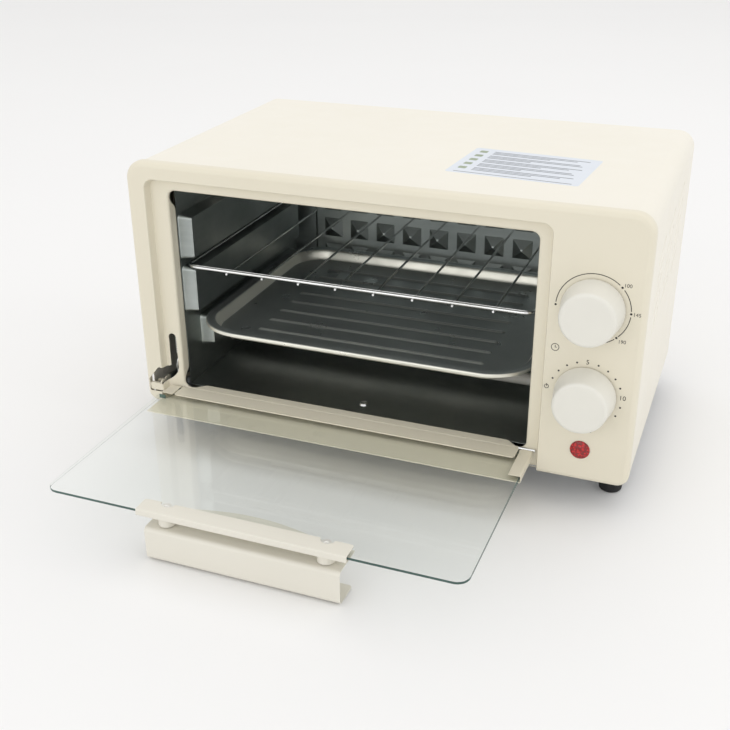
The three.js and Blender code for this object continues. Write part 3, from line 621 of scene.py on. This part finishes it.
def cover():
    side = COVER_HALF
    corner = Fold([(-side, 60), (-side, COVER_TOP), (side, COVER_TOP), (side, 60)], 12.0, 12)
    line = Fold([(-166, 22.3), (-side, 22.3), (-side, 60)], 1.2)
    path = Fold([(0, 0), (1, 0)], 0)
    mirrored = [Vector((-p.x, p.y)) for p in reversed(line.points[:-1])]
    path.points = line.points[:-1] + corner.points + mirrored
    path.at = [0.0]
    for a, b in zip(path.points, path.points[1:]):
        path.at.append(path.at[-1] + (b - a).length)
    path.length = path.at[-1]
    foot = path.length - line.length

    slots, rings = [], []
    for column in range(3):
        for row in range(5):
            y, z = 62 + 46 * column, 113 + 12 * row + 5 * column
            s = foot - (z - 60)

            def tilted(ring):
                c, k = math.cos(SLOT_TILT), math.sin(SLOT_TILT)
                return [(y + u * c - v * k, s - (u * k + v * c)) for u, v in ring]

            slots.append(tilted(rounded(-14, 14, -1.3, 1.3, 1.25, steps=5)))
            rings.append(tilted(rounded(-15, 15, -2.3, 2.3, 2.2, steps=5)))
    y0, back = BEZEL_BACK + 0.5, COVER_BACK
    outline = [(y0, 0), (back, 0), (back, path.length), (y0, path.length)]

    def place(y, s):
        p = path(s)
        dish = 0.0
        for ring in slots:
            if any(abs(y - a) < 1e-3 and abs(s - b) < 1e-3 for a, b in ring):
                dish = LOUVRE_DISH
        along = (path(min(s + 0.05, path.length)) - path(max(s - 0.05, 0))).normalized()
        drop = bend(y - y0, 1.2) + bend(back - y, 0.6)
        return (p.x - dish + along.y * drop, y, p.y - along.x * drop)

    lines = [[(y0 - 1, s), (back + 1, s)] for s in path.at[1:-1]]
    for k in (0.08, 0.25, 0.5, 0.9):
        lines.append([(y0 + k * 1.3, -1), (y0 + k * 1.3, path.length + 1)])
        lines.append([(back - k * 0.66, -1), (back - k * 0.66, path.length + 1)])
    verts, faces, _ = sheet(outline, place, slots, rings, lines)
    replaced = ["outer_cover"]
    # the lighter copy of the cream carries painted light on the cover's top and sides
    finish_mesh(
        "cover_wrap", verts, faces, "body", CREAM_COVER_PAINTED_LIGHT, replaced, thick=COVER_STEEL, side=1
    )


cover()

# ---------------------------------------------------------------- cavity

FLOOR_Z, TOP_Z, CAV_BACK = 33.2, 187.0, 204.5
GUIDES = [(16, 129.5, 163), (16, 89.5, 125), (35, 56, 81)]  # the front end of the left one, bottom, top
GUIDE_BACK, RIGHT_GUIDE_FRONT = 193, 35
HEATERS = {
    "upper_front": (72, 171),
    "upper_rear": (138, 171),
    "lower_front": (84, 46),
    "lower_rear": (150, 46),
}


def cavity_side(name, x_wall, sign, left):
    """One side liner, pressed into long plateaus that the rack and tray slide on."""
    run, fall = 2.4, 2.2  # how far the pressing's ends and its long edges take to rise
    height, corner = 9.5, 1.6

    def rect(guide):
        front = guide[0] if left else RIGHT_GUIDE_FRONT
        return (front / run, GUIDE_BACK / run, guide[1] / fall, guide[2] / fall)

    def x_at(y, z):
        rise = max(smooth(depth(y / run, z / fall, *rect(guide), corner)) for guide in GUIDES)
        return x_wall + sign * height * rise

    loops = []
    for guide in GUIDES:
        for k in (0, 0.12, 0.25, 0.4, 0.55, 0.7, 0.85, 1):
            ring = rounded(*rect(guide), corner, k, steps=8)
            loops.append([(u * run, v * fall) for u, v in ring])
    holes = [circle(y, z, 5.7) for y, z in HEATERS.values()]
    outline = rounded(15, CAV_BACK, FLOOR_Z + 0.3, TOP_Z - 0.3, 1)
    verts, faces, _ = sheet(outline, lambda y, z: (x_at(y, z), y, z), holes, loops)
    if sign < 0:
        faces = [f[::-1] for f in faces]
    finish_mesh(
        name, verts, faces, "body", LINER, [name.replace("_liner", "")], thick=0.6
    )


cavity_side("cavity_left_wall_liner", -146.5, 1, True)
cavity_side("cavity_right_wall_liner", 112.9, -1, False)


def cavity_back():
    """The back liner: a raised field stamped with rows of pyramids."""
    field = (-127, 97, FLOOR_Z + 3, TOP_Z - 3)
    half, tall, blunt = 8, 5.0, 0.86  # a pyramid's half width and height, and where its tip flattens
    spots = [(CENTRE_X - 1.4 + 23.3 * c, 99.4 + 23 * r) for c in range(-4, 5) for r in range(-2, 4)]

    def y_at(x, z):
        y = CAV_BACK + 0.3 - 2.2 * smooth(depth(x, z, *field, 4) / 2.5)
        for cx, cz in spots:
            d = max(abs(x - cx), abs(z - cz))
            if d < half:
                h = 1 - d / half
                y -= tall * (h if h < blunt else blunt + (h - blunt) * 0.45)
        return y

    loops = [rounded(*field, 4, k) for k in (0, 0.5, 1.0, 1.5, 2.0, 2.5)]
    lines = []
    for cx, cz in spots:
        for out in (half, 7.6, 4.5, 1.1):
            loops.append([(cx - out, cz - out), (cx + out, cz - out), (cx + out, cz + out), (cx - out, cz + out)])
        lines.append([(cx - half, cz - half), (cx + half, cz + half)])
        lines.append([(cx - half, cz + half), (cx + half, cz - half)])
    outline = rounded(-147, 113.4, FLOOR_Z - 0.5, TOP_Z + 0.5, 1)
    verts, faces, _ = sheet(outline, lambda x, z: (x, y_at(x, z), z), [], loops, lines)
    replaced = ["cavity_back"]
    finish_mesh(
        "cavity_back_liner", verts, faces, "body", LINER, replaced, thick=0.5, sharp=14
    )


cavity_back()

# ---------------------------------------------------------------- rack and tray


def rack():
    x0, x1, y0, y1, z = -141.5, 105.4, 14, 190, 126.8
    border = rounded_path([(x0, y0, z), (x1, y0, z), (x1, y1, z), (x0, y1, z)], 9, 8, closed=True)
    parts = [swept(border, 1.05, 12, closed=True)]
    parts.append(swept([(x0 + 3, y0 + 4.2, z - 0.5), (x1 - 3, y0 + 4.2, z - 0.5)], 0.55, 10))
    for i in range(8):
        x = CENTRE_X + (i - 3.5) * 27
        low = z - 1.75
        line = [(x, y0 - 1.6, low + 0.2), (x, y0 + 3, low), (x, y1 - 3, low), (x, y1 + 1.6, low + 0.2)]
        parts.append(swept(rounded_path(line, 1.5, 3), 0.8, 10))
    verts, faces = merged(parts)
    finish_mesh("rack_wires", verts, faces, "rack", CHROME, ["wire_rack"], sharp=50)


rack()


def tray():
    rect = (-139.2, 106.5, 5.4, 196)
    corner, rim, floor = 35, 84.2, 76.0
    roll, lip, wall = 1.4, 6.5, 4.4
    rib_half, rib_end = 85, 2.5
    ribs = [36.5 + 18.2 * i for i in range(8)]

    def rib_box(at):
        return (CENTRE_X - rib_half, CENTRE_X + rib_half, at - 2.6, at + 2.6)

    def z_at(x, y):
        d = depth(x, y, *rect, corner)
        z = rim - bend(d, roll)
        z -= 0.5 * smooth((d - 2.2) / 2.2)
        z -= (rim - 0.5 - floor) * smooth((d - lip) / wall)
        for at in ribs:
            r = depth(x, y, *rib_box(at), rib_end)
            if r > 0:
                z += 1.25 * smooth(r / rib_end)
        return z

    steps = [0.05, 0.2, 0.5, 0.9, roll, 2.2, 3.3, 4.4, lip]
    steps += [lip + wall * k for k in (0.15, 0.3, 0.45, 0.6, 0.75, 0.9, 1)]
    loops = [rounded(*rect, corner, k, steps=16) for k in steps]
    for at in ribs:
        loops += [rounded(*rib_box(at), rib_end, k, steps=5) for k in (0, 0.7, 1.4, 2.0, 2.45)]
    verts, faces, flat = sheet(rounded(*rect, corner, steps=16), lambda x, y: (x, y, z_at(x, y)), [], loops)
    rows = [lambda x, y, p: (x, y, rim - 2.4)]
    skirt(verts, faces, flat, lambda x, y: abs(depth(x, y, *rect, corner)) < ON_EDGE, rows)
    finish_mesh("tray_pressing", verts, faces, "tray", TRAY, ["baking_tray"], thick=0.8)


tray()

# ---------------------------------------------------------------- door

GLASS_TOP = 34.8
GLASS_THICK = 3.0
HINGE_Y, HINGE_Z = 4.75, 35.25
HANDLE_X = -25
SCREW_REACH = 52  # from the handle's middle to each screw
SCREW_Y = -137
DOOR_FRONT = -146.2
RAIL_STEEL, BAR_STEEL = 0.8, 1.2
RAIL_LOW, RAIL_HIGH = 30.7, 35.9


def glass():
    x0, x1, front, back = -158.5, 112, -145, 3.6
    outline = arc(x0 + 8, front + 8, 8, 180, 270, 8) + arc(x1 - 8, front + 8, 8, 270, 360, 8)
    outline += [(x1, -1), (103.8, -1), (103.8, back)]
    outline += [(-150.6, back), (-150.6, -1), (-153.6, -10), (x0, -10)]
    screws = [circle(HANDLE_X + s * SCREW_REACH, SCREW_Y, 3, 20) for s in (-1, 1)]
    verts, faces, _ = sheet(outline, lambda x, y: (x, y, GLASS_TOP), screws)
    replaced = ["door_glass"]
    obj = finish_mesh(
        "glass_pane", verts, faces, "door", GLASS, replaced, thick=GLASS_THICK, bevel=0.45
    )
    obj.data.materials.append(GLASS_EDGE)
    for polygon in obj.data.polygons:
        clear = abs(polygon.normal.z) > 0.95 or polygon.normal.x < -0.9
        polygon.material_index = 0 if clear else 1


glass()


def folded_sheet(name, outline, fold, holes, material, replaced, thick, bevel):
    """A folded door part: the outline is drawn flat as (x, distance along the fold)."""
    us = [u for u, _ in outline]
    lines = fold.lines(min(us), max(us))

    def place(u, s):
        p = fold(s)
        return (u, p.x, p.y)

    verts, faces, _ = sheet(outline, place, holes, [], lines)
    finish_mesh(
        name, verts, faces, "door", material, [replaced], thick=thick, side=0, bevel=bevel
    )


def handle_bar():
    half, ends = 63.5, 2.0
    front, low, high = DOOR_FRONT + BAR_STEEL / 2, 0.4 + BAR_STEEL / 2, 23.5 - BAR_STEEL / 2
    fold = Fold([(-127, low), (front, low), (front, high), (-131, high)], 2.6, 8)
    outline = rounded(HANDLE_X - half, HANDLE_X + half, 0, fold.length, ends, steps=5)
    holes = [circle(HANDLE_X + s * SCREW_REACH, fold.length - 6, 2.4, 16) for s in (-1, 1)]
    folded_sheet("handle_channel", outline, fold, holes, CREAM_HANDLE, "handle_bar", BAR_STEEL, bevel=0.25)


handle_bar()


def handle_clamp():
    """The clip over the glass's front edge, with an arched lower leaf and a notch round each screw."""
    half, corner, notch, arch_steps = 68, 1.6, 4.6, 40
    z0, z1 = RAIL_LOW + RAIL_STEEL / 2, RAIL_HIGH - RAIL_STEEL / 2
    front = DOOR_FRONT + RAIL_STEEL / 2
    fold = Fold([(-123, z0), (front, z0), (front, z1), (-134, z1)], 0.7, 5)
    x0, x1 = HANDLE_X - half, HANDLE_X + half
    top = fold.length

    def arch(x):
        k = min(abs(x - HANDLE_X) / half, 1)
        return 10.2 * smooth(k ** 1.15)

    line = [x0 + 2 * half * i / arch_steps for i in range(arch_steps + 1)]
    outline = [(x, arch(x)) for x in line]
    outline += arc(x1 - corner, top - corner, corner, 0, 90, 4)
    for side in (1, -1):
        outline += arc(HANDLE_X + side * SCREW_REACH, top + 0.2, notch, -2, -178, 10)
    outline += arc(x0 + corner, top - corner, corner, 90, 180, 4)
    folded_sheet("handle_clip", outline, fold, [], CREAM_HANDLE, "handle_clamp", RAIL_STEEL, bevel=0.12)


handle_clamp()


def rail_clip(name, corners, radius, steps, y0, y1, round_, flip=False):
    """A clip folded round the glass's side edge; corners are (x, z), and it runs from y0 to y1."""
    clip = Fold(corners, radius, steps)

    def place(y, s):
        p = clip(s)
        return (p.x, y, p.y)

    outline = rounded(y0, y1, 0, clip.length, round_, steps=4)
    verts, faces, _ = sheet(outline, place, [], [], clip.lines(y0, y1))
    faces = [f[::-1] for f in faces] if flip else faces
    finish_mesh(name, verts, faces, "door", CREAM, thick=RAIL_STEEL, side=0, bevel=0.12)


def door_rail():
    z0, z1 = RAIL_LOW + RAIL_STEEL / 2, RAIL_HIGH - RAIL_STEEL / 2
    back = 4.6 - RAIL_STEEL / 2
    fold = Fold([(-30, z0), (back, z0), (back, z1), (-9, z1)], 0.6, 5)
    top = fold.length
    outline = [(-156.6, 0), (112.8, 0), (112.8, 28.5), (103.5, 28.5), (103.5, top - 3)]
    outline += arc(101, top - 2.5, 2.5, 0, 90, 4) + arc(-144.5, top - 2.5, 2.5, 90, 180, 4)
    outline += [(-147, 28.5), (-156.6, 28.5)]
    folded_sheet("rail_channel", outline, fold, [], CREAM, "door_rail", RAIL_STEEL, bevel=0.12)
    right = [(104.9, z1), (112.7, z1), (112.7, z0), (108, z0)]
    rail_clip("rail_clip_right", right, 0.6, 5, -30, 3.2, 1.0)
    left = [(-148.4, z1), (-157, z1), (-157, z0), (-152.4, z0)]
    rail_clip("rail_clip_left", left, 0.5, 4, -8.6, 4.2, 0.8, flip=True)


door_rail()


def bracket_face():
    """The left hinge bracket's painted front, with a shallow dimple."""
    cx, cz, reach, rim = -167.4, 34.0, 1.7, 1.3
    plate = smoothed([(-171.9, 31.3), (-162.2, 31.3), (-162.0, 36.8), (-172.0, 36.8)], 1.2)
    rings = [circle(cx, cz, r, 16) for r in (0.6, 1.2, reach)]

    def face(x, z):
        away = math.hypot(x - cx, z - cz)
        return (x, 1.1 + 0.3 * smooth((reach - away) / rim), z)

    verts, faces, _ = sheet(plate, face, [], rings)
    finish_mesh("bracket_face_left", verts, faces, "body", CREAM, thick=0.3, side=0)


bracket_face()


def small_door_parts():
    arm = smoothed([(7.8, 38.6), (9.6, 38.6), (12.2, 45.4), (11.4, 46.8), (9.6, 46.4)], 0.8)
    verts, faces, _ = sheet(arm, lambda y, z: (-153.3, y, z))
    replaced = ["spring_lever"]
    finish_mesh(
        "lever_blade", verts, faces, "door", ZINC, replaced, thick=0.6, side=1, bevel=0.08
    )
    spacer = [(2.4, 23.8), (5.3, 23.8), (5.7, 24.1), (5.6, 27)]
    spacer += [(5.7, 30), (5.4, 30.4), (2.4, 30.4), (2.4, 23.8)]
    rivet = [(0.01, 20.2), (2.9, 20.2), (3.5, 20.8), (3.6, 22), (1.9, 22), (1.9, 34.9)]
    rivet += [(3.7, 34.95), (3.5, 35.5), (1.4, 35.6), (1.2, 35.2), (0.01, 35.2)]
    for side, sign in (("left", -1), ("right", 1)):
        at = (HANDLE_X + sign * SCREW_REACH, SCREW_Y, 0)
        verts, faces = turned(spacer, 36, at, "z")
        name = "handle_spacer_sleeve_" + side
        finish_mesh(name, verts, faces, "door", CREAM_HANDLE, ["handle_spacer_" + side])
        verts, faces = turned(rivet, 28, at, "z")
        name = "handle_rivet_" + side
        finish_mesh(
            name, verts, faces, "door", RIVET, ["handle_screw_" + side], sharp=40
        )
    for side, (x0, x1) in (("left", (-168, -161.9)), ("right", (103.0, 114.2))):
        pin = [(0.01, x0), (0.9, x0), (1.1, x0 + 0.3), (1.1, x1 - 0.3), (0.9, x1), (0.01, x1)]
        verts, faces = turned(pin, 24, (0, HINGE_Y, HINGE_Z), "x")
        name = "hinge_rod_" + side
        finish_mesh(name, verts, faces, "door", CHROME, ["hinge_pin_" + side], sharp=40)


small_door_parts()


def spring():
    turns, radius, x, y = 26, 2.2, -153.2, 12.5
    line = [(-154.1, 10.9, 44.6), (-154.1, 10.3, 47.2), (-153.7, 9.6, 49.5)]
    line += [(-153.4, 10.4, 53), (-153.2, 12, 55.5)]
    steps = 12
    for i in range(turns * steps + 1):
        a = 2 * math.pi * i / steps
        grow = min(i / steps, 1) * min((turns * steps - i) / steps, 1)
        height = 57 + 46 * i / (turns * steps)
        line.append((x + radius * grow * math.cos(a), y + radius * grow * math.sin(a), height))
    line += [(x, y, 106), (x + 0.2, y, 108.5), (x + 0.6, y, 111)]
    verts, faces = swept(line, 0.55, 8)
    obj = finish_mesh(
        "spring_coil", verts, faces, "body", CHROME, ["door_spring"], sharp=60
    )
    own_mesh(obj)


spring()

# ---------------------------------------------------------------- controls


def controls():
    for name, z in DIALS.items():
        profile = [(0.01, -20), (3, -20), (7, -20), (11, -20), (14.5, -20)]
        profile += [(15.2, -19.93), (15.9, -19.7), (16.45, -19.3), (16.85, -18.75), (17.1, -18.0)]
        profile += [(17.1 + 1.95 * (k / 6), -18.0 + 14.6 * (k / 6)) for k in range(1, 7)]
        profile += [(19.25, -2.6), (19.3, -1.6), (19.28, -1.0), (19.1, -0.8), (17.4, -0.8), (16.6, -2)]
        profile += [(14.2, -15.5), (6, -15.5), (6, -0.9), (3.3, -0.9), (3.3, -15), (0.01, -15)]
        verts, faces = turned(profile, 72, (DIAL_X, 0, z), "y")
        dial = name + "_dial"
        finish_mesh(dial, verts, faces, dial, KNOB, [name + "_knob"], sharp=40)
    dome = [(0.01, -1.95), (1.6, -1.9), (3.1, -1.72), (4.4, -1.4), (5.2, -1.05), (5.7, -0.8)]
    dome += [(6.1, -0.75), (6.3, -0.55), (6.3, -0.1), (5.0, -0.1), (5.0, 10), (0.01, 10)]
    verts, faces = turned(dome, 48, (DIAL_X, 0, LAMP_Z), "y")
    finish_mesh("lamp_jewel", verts, faces, "body", LENS, ["indicator_lens"])


controls()


SCALE_R = 22.4
NUMERAL_SCALE = 1.08
MARK_Y = -0.05
THERMOSTAT_NUMBERS = (("100", 16.6, 16.3), ("145", 23.5, -1.2), ("190", 16.4, -19.6), ("230", -2.6, -24.9))
TIMER_NUMBERS = (("5", -1.2, 21.2), ("10", 20.6, 0.6), ("15", 2.2, -25.4))


def ring_piece(cx, cz, r0, r1, a0, a1, steps):
    outer = arc(cx, cz, r1, a0, a1, steps)
    inner = arc(cx, cz, r0, a1, a0, steps)
    return outer + inner


def block(x0, x1, z0, z1):
    return [(x0, z0), (x1, z0), (x1, z1), (x0, z1)]


def scale_marks():
    """Outlines, each with its holes: the arc and its dots, the minute dots, a clock and the off mark."""
    shapes = []
    z = DIALS["thermostat"]
    for a0, a1 in ((176, 50), (40, 4), (-5, -44), (-51, -66)):
        shapes.append(ring_piece(DIAL_X, z, 22.15, 22.65, a0, a1, 24))
    for a in (180, 45, 0, -47):
        a = math.radians(a)
        shapes.append(circle(DIAL_X + SCALE_R * math.cos(a), z + SCALE_R * math.sin(a), 0.7, 16))
    z = DIALS["timer"]
    for minute in range(1, 13):
        if minute in (5, 10):
            continue
        a = math.radians(175 - 17 * minute)
        shapes.append(circle(DIAL_X + SCALE_R * math.cos(a), z + SCALE_R * math.sin(a), 0.62, 16))
    parts = [(shape, []) for shape in shapes]
    cx, cz = 122.6, 113.3
    parts.append((circle(cx, cz, 2.55, 32), [circle(cx, cz, 2.15, 32)]))
    parts.append((block(cx - 0.18, cx + 0.18, cz - 0.1, cz + 1.5), []))
    parts.append((block(cx - 0.1, cx + 1.15, cz - 0.18, cz + 0.18), []))
    ox, oz = DIAL_X - 24.2, z + 2.2
    parts.append((circle(ox, oz, 1.5, 24), [circle(ox, oz, 1.1, 24)]))
    parts.append((block(ox - 0.2, ox + 0.2, oz, oz + 2.0), []))
    return parts


def numeral(text, size, x, z):
    """One number's flat mesh."""
    curve = bpy.data.curves.new("numeral", "FONT")
    curve.body = text
    curve.size = size * NUMERAL_SCALE
    curve.resolution_u = 4
    temp = bpy.data.objects.new("numeral", curve)
    bpy.context.scene.collection.objects.link(temp)
    bpy.context.view_layer.update()
    mesh = bpy.data.meshes.new_from_object(temp.evaluated_get(bpy.context.evaluated_depsgraph_get()))
    verts = [(x + v.co.x, MARK_Y, z + v.co.y) for v in mesh.vertices]
    faces = [tuple(p.vertices) for p in mesh.polygons]
    bpy.data.objects.remove(temp)
    bpy.data.curves.remove(curve)
    bpy.data.meshes.remove(mesh)
    return verts, faces


def dial_marks():
    meshes = [sheet(outline, lambda x, z: (x, MARK_Y, z), holes)[:2] for outline, holes in scale_marks()]
    for dial, size, numbers in (("thermostat", 3.0, THERMOSTAT_NUMBERS), ("timer", 4.0, TIMER_NUMBERS)):
        for text, x, z in numbers:
            meshes.append(numeral(text, size, DIAL_X + x, DIALS[dial] + z))
    verts, faces = merged(meshes)
    finish_mesh(
        "dial_marks", verts, faces, "body", INK, thick=0.045, side=-1, even=False
    )


dial_marks()


def label():
    """A plain sticker on the cover with ruled bars in place of its text."""
    turn = math.radians(-4)
    cx, cy = 79, 80.5

    def at(z):
        def place(u, v):
            c, s = math.cos(turn), math.sin(turn)
            return (cx + u * c - v * s, cy + u * s + v * c, z)

        return place

    verts, faces, _ = sheet(rounded(-44, 44, -32, 32, 2.5), at(COVER_TOP + 0.05), [])
    finish_mesh("top_label", verts, faces, "body", VINYL, thick=0.05, side=-1)
    dark, pale = [], []
    for i in range(5):
        v = 25 - 10.5 * i
        pale.append(rounded(-39, -33.5, v - 4.4, v + 0.8, 0.8, steps=3))
        widths = [66, 58, 40] if i % 2 == 0 else [62, 64, 30]
        for k, w in enumerate(widths):
            dark.append(rounded(-29, -29 + w, v - 0.4 - 2.7 * k, v + 0.6 - 2.7 * k, 0.3, steps=2))
    dark.append(rounded(-39, 39, -29.2, -28.4, 0.2, steps=2))
    prints = (("top_label_bars", dark, PRINT), ("top_label_squares", pale, PRINT_PALE))
    for name, shapes, material in prints:
        meshes = []
        for outline in shapes:
            verts, faces, _ = sheet(outline, at(COVER_TOP + 0.085), [])
            meshes.append((verts, faces))
        verts, faces = merged(meshes)
        finish_mesh(name, verts, faces, "body", material, thick=0.03, side=-1)


label()


def feet():
    for end, y in (("front", 35), ("rear", 185)):
        for side, x in (("left", -160.5), ("right", 160.5)):
            profile = [(2.4, 5.5), (4.5, 5.5), (4.5, 0.25), (4.8, 0)]
            profile += [(6.4, 0), (7.1, 0.25), (7.5, 0.8), (7.7, 2)]
            profile += [(8.1, 8), (8.6, 15), (8.95, 20.5), (9, 21.4), (8.7, 21.7), (2.4, 21.7), (2.4, 5.5)]
            verts, faces = turned(profile, 40, (x, y, 0), "z")
            name = end + "_" + side
            replaced = ["foot_" + name]
            finish_mesh(
                "foot_moulding_" + name, verts, faces, "body", RUBBER, replaced, sharp=45
            )


feet()

# ---------------------------------------------------------------- carried-over CAD nodes

KEPT = {
    ZINC: ["base_plate", "thermostat_shaft", "timer_shaft", "control_bracket", "timer_body",
           "foot_screw_front_left", "foot_screw_front_right",
           "foot_screw_rear_left", "foot_screw_rear_right"],
    CREAM: ["back_panel", "hinge_bracket_left", "hinge_bracket_right"],
    LINER: ["cavity_top", "cavity_floor"],
    QUARTZ: ["heater_" + name for name in HEATERS],
    CERAMIC: ["heater_holder_upper_left", "heater_holder_upper_right", "heater_holder_lower_left",
              "heater_holder_lower_right", "terminal_block"],
    CHROME: ["timer_bell", "floor_screw", "back_screw_1", "back_screw_2", "back_screw_3", "back_screw_4"],
    PHENOLIC: ["thermostat_body"],
    RUBBER: ["cord_gland"],
    WIRE: ["supply_wire", "heater_wire"],
}
for material, names in KEPT.items():
    for name in names:
        obj = NODES[name]
        obj.data.materials.clear()
        obj.data.materials.append(material)
        m = obj.modifiers.new("weld", "WELD")
        m.merge_threshold = 1e-6
        m = obj.modifiers.new("edges", "BEVEL")
        m.width = 0.00015
        m.segments = 2
        m.limit_method = "ANGLE"
        m.angle_limit = math.radians(40)
        m.harden_normals = True

# ---------------------------------------------------------------- floor, light, camera


def floor_material():
    g = Graph("floor")
    colour = g.mix(g.noise(3, 3), (0.875, 0.872, 0.868, 1), (0.86, 0.857, 0.853, 1))
    return g.surface(g.principled({"Base Color": colour, "Roughness": 0.6, "Specular IOR Level": 0.2}))


bpy.ops.mesh.primitive_grid_add(x_subdivisions=2, y_subdivisions=2, size=24)
floor = bpy.context.object
floor.name = "floor"
floor.location = (0, 6, -0.0003)
floor.data.materials.append(floor_material())

world = bpy.data.worlds.new("studio")
bpy.context.scene.world = world
world.use_nodes = True
world.node_tree.nodes["Background"].inputs[0].default_value = (1.0, 0.995, 0.99, 1)
world.node_tree.nodes["Background"].inputs[1].default_value = 0.92


def lamp(name, location, target, size, power):
    light = bpy.data.lights.new(name, "AREA")
    light.shape = "RECTANGLE"
    light.size, light.size_y = size
    light.energy = power
    obj = bpy.data.objects.new(name, light)
    bpy.context.scene.collection.objects.link(obj)
    obj.location = location
    obj.rotation_euler = (Vector(target) - Vector(location)).to_track_quat("-Z", "Y").to_euler()


lamp("overhead", (0.3, 0.4, 2.2), (0, 0, 0.1), (3.0, 2.4), 9)
lamp("front", (-0.5, -2.6, 1.1), (0, 0, 0.1), (2.4, 1.4), 11)
lamp("right", (2.2, 0.2, 1.2), (0.1, 0, 0.1), (1.4, 1.6), 5)

scene = bpy.context.scene
scene.view_settings.view_transform = "Standard"

AZIMUTH, ELEVATION, ROLL = math.radians(21.48), math.radians(25.93), math.radians(-0.44)
LENS_MM, SENSOR_MM = 52.6, 36
CAMERA_AT = (0.2308, -0.6312, 0.3895)
flat_run = math.cos(ELEVATION)
ahead = Vector((-math.sin(AZIMUTH) * flat_run, math.cos(AZIMUTH) * flat_run, -math.sin(ELEVATION)))
level = Vector((math.cos(AZIMUTH), math.sin(AZIMUTH), 0))
upright = level.cross(ahead)
right = level * math.cos(ROLL) + upright * math.sin(ROLL)
up = upright * math.cos(ROLL) - level * math.sin(ROLL)
camera_data = bpy.data.cameras.new("camera")
camera_data.lens = LENS_MM
camera_data.sensor_width = SENSOR_MM
camera_data.clip_end = 60
camera = bpy.data.objects.new("camera", camera_data)
scene.collection.objects.link(camera)
pose = Matrix((right, up, -ahead)).transposed().to_4x4()
pose.translation = CAMERA_AT
camera.matrix_world = pose
scene.camera = camera
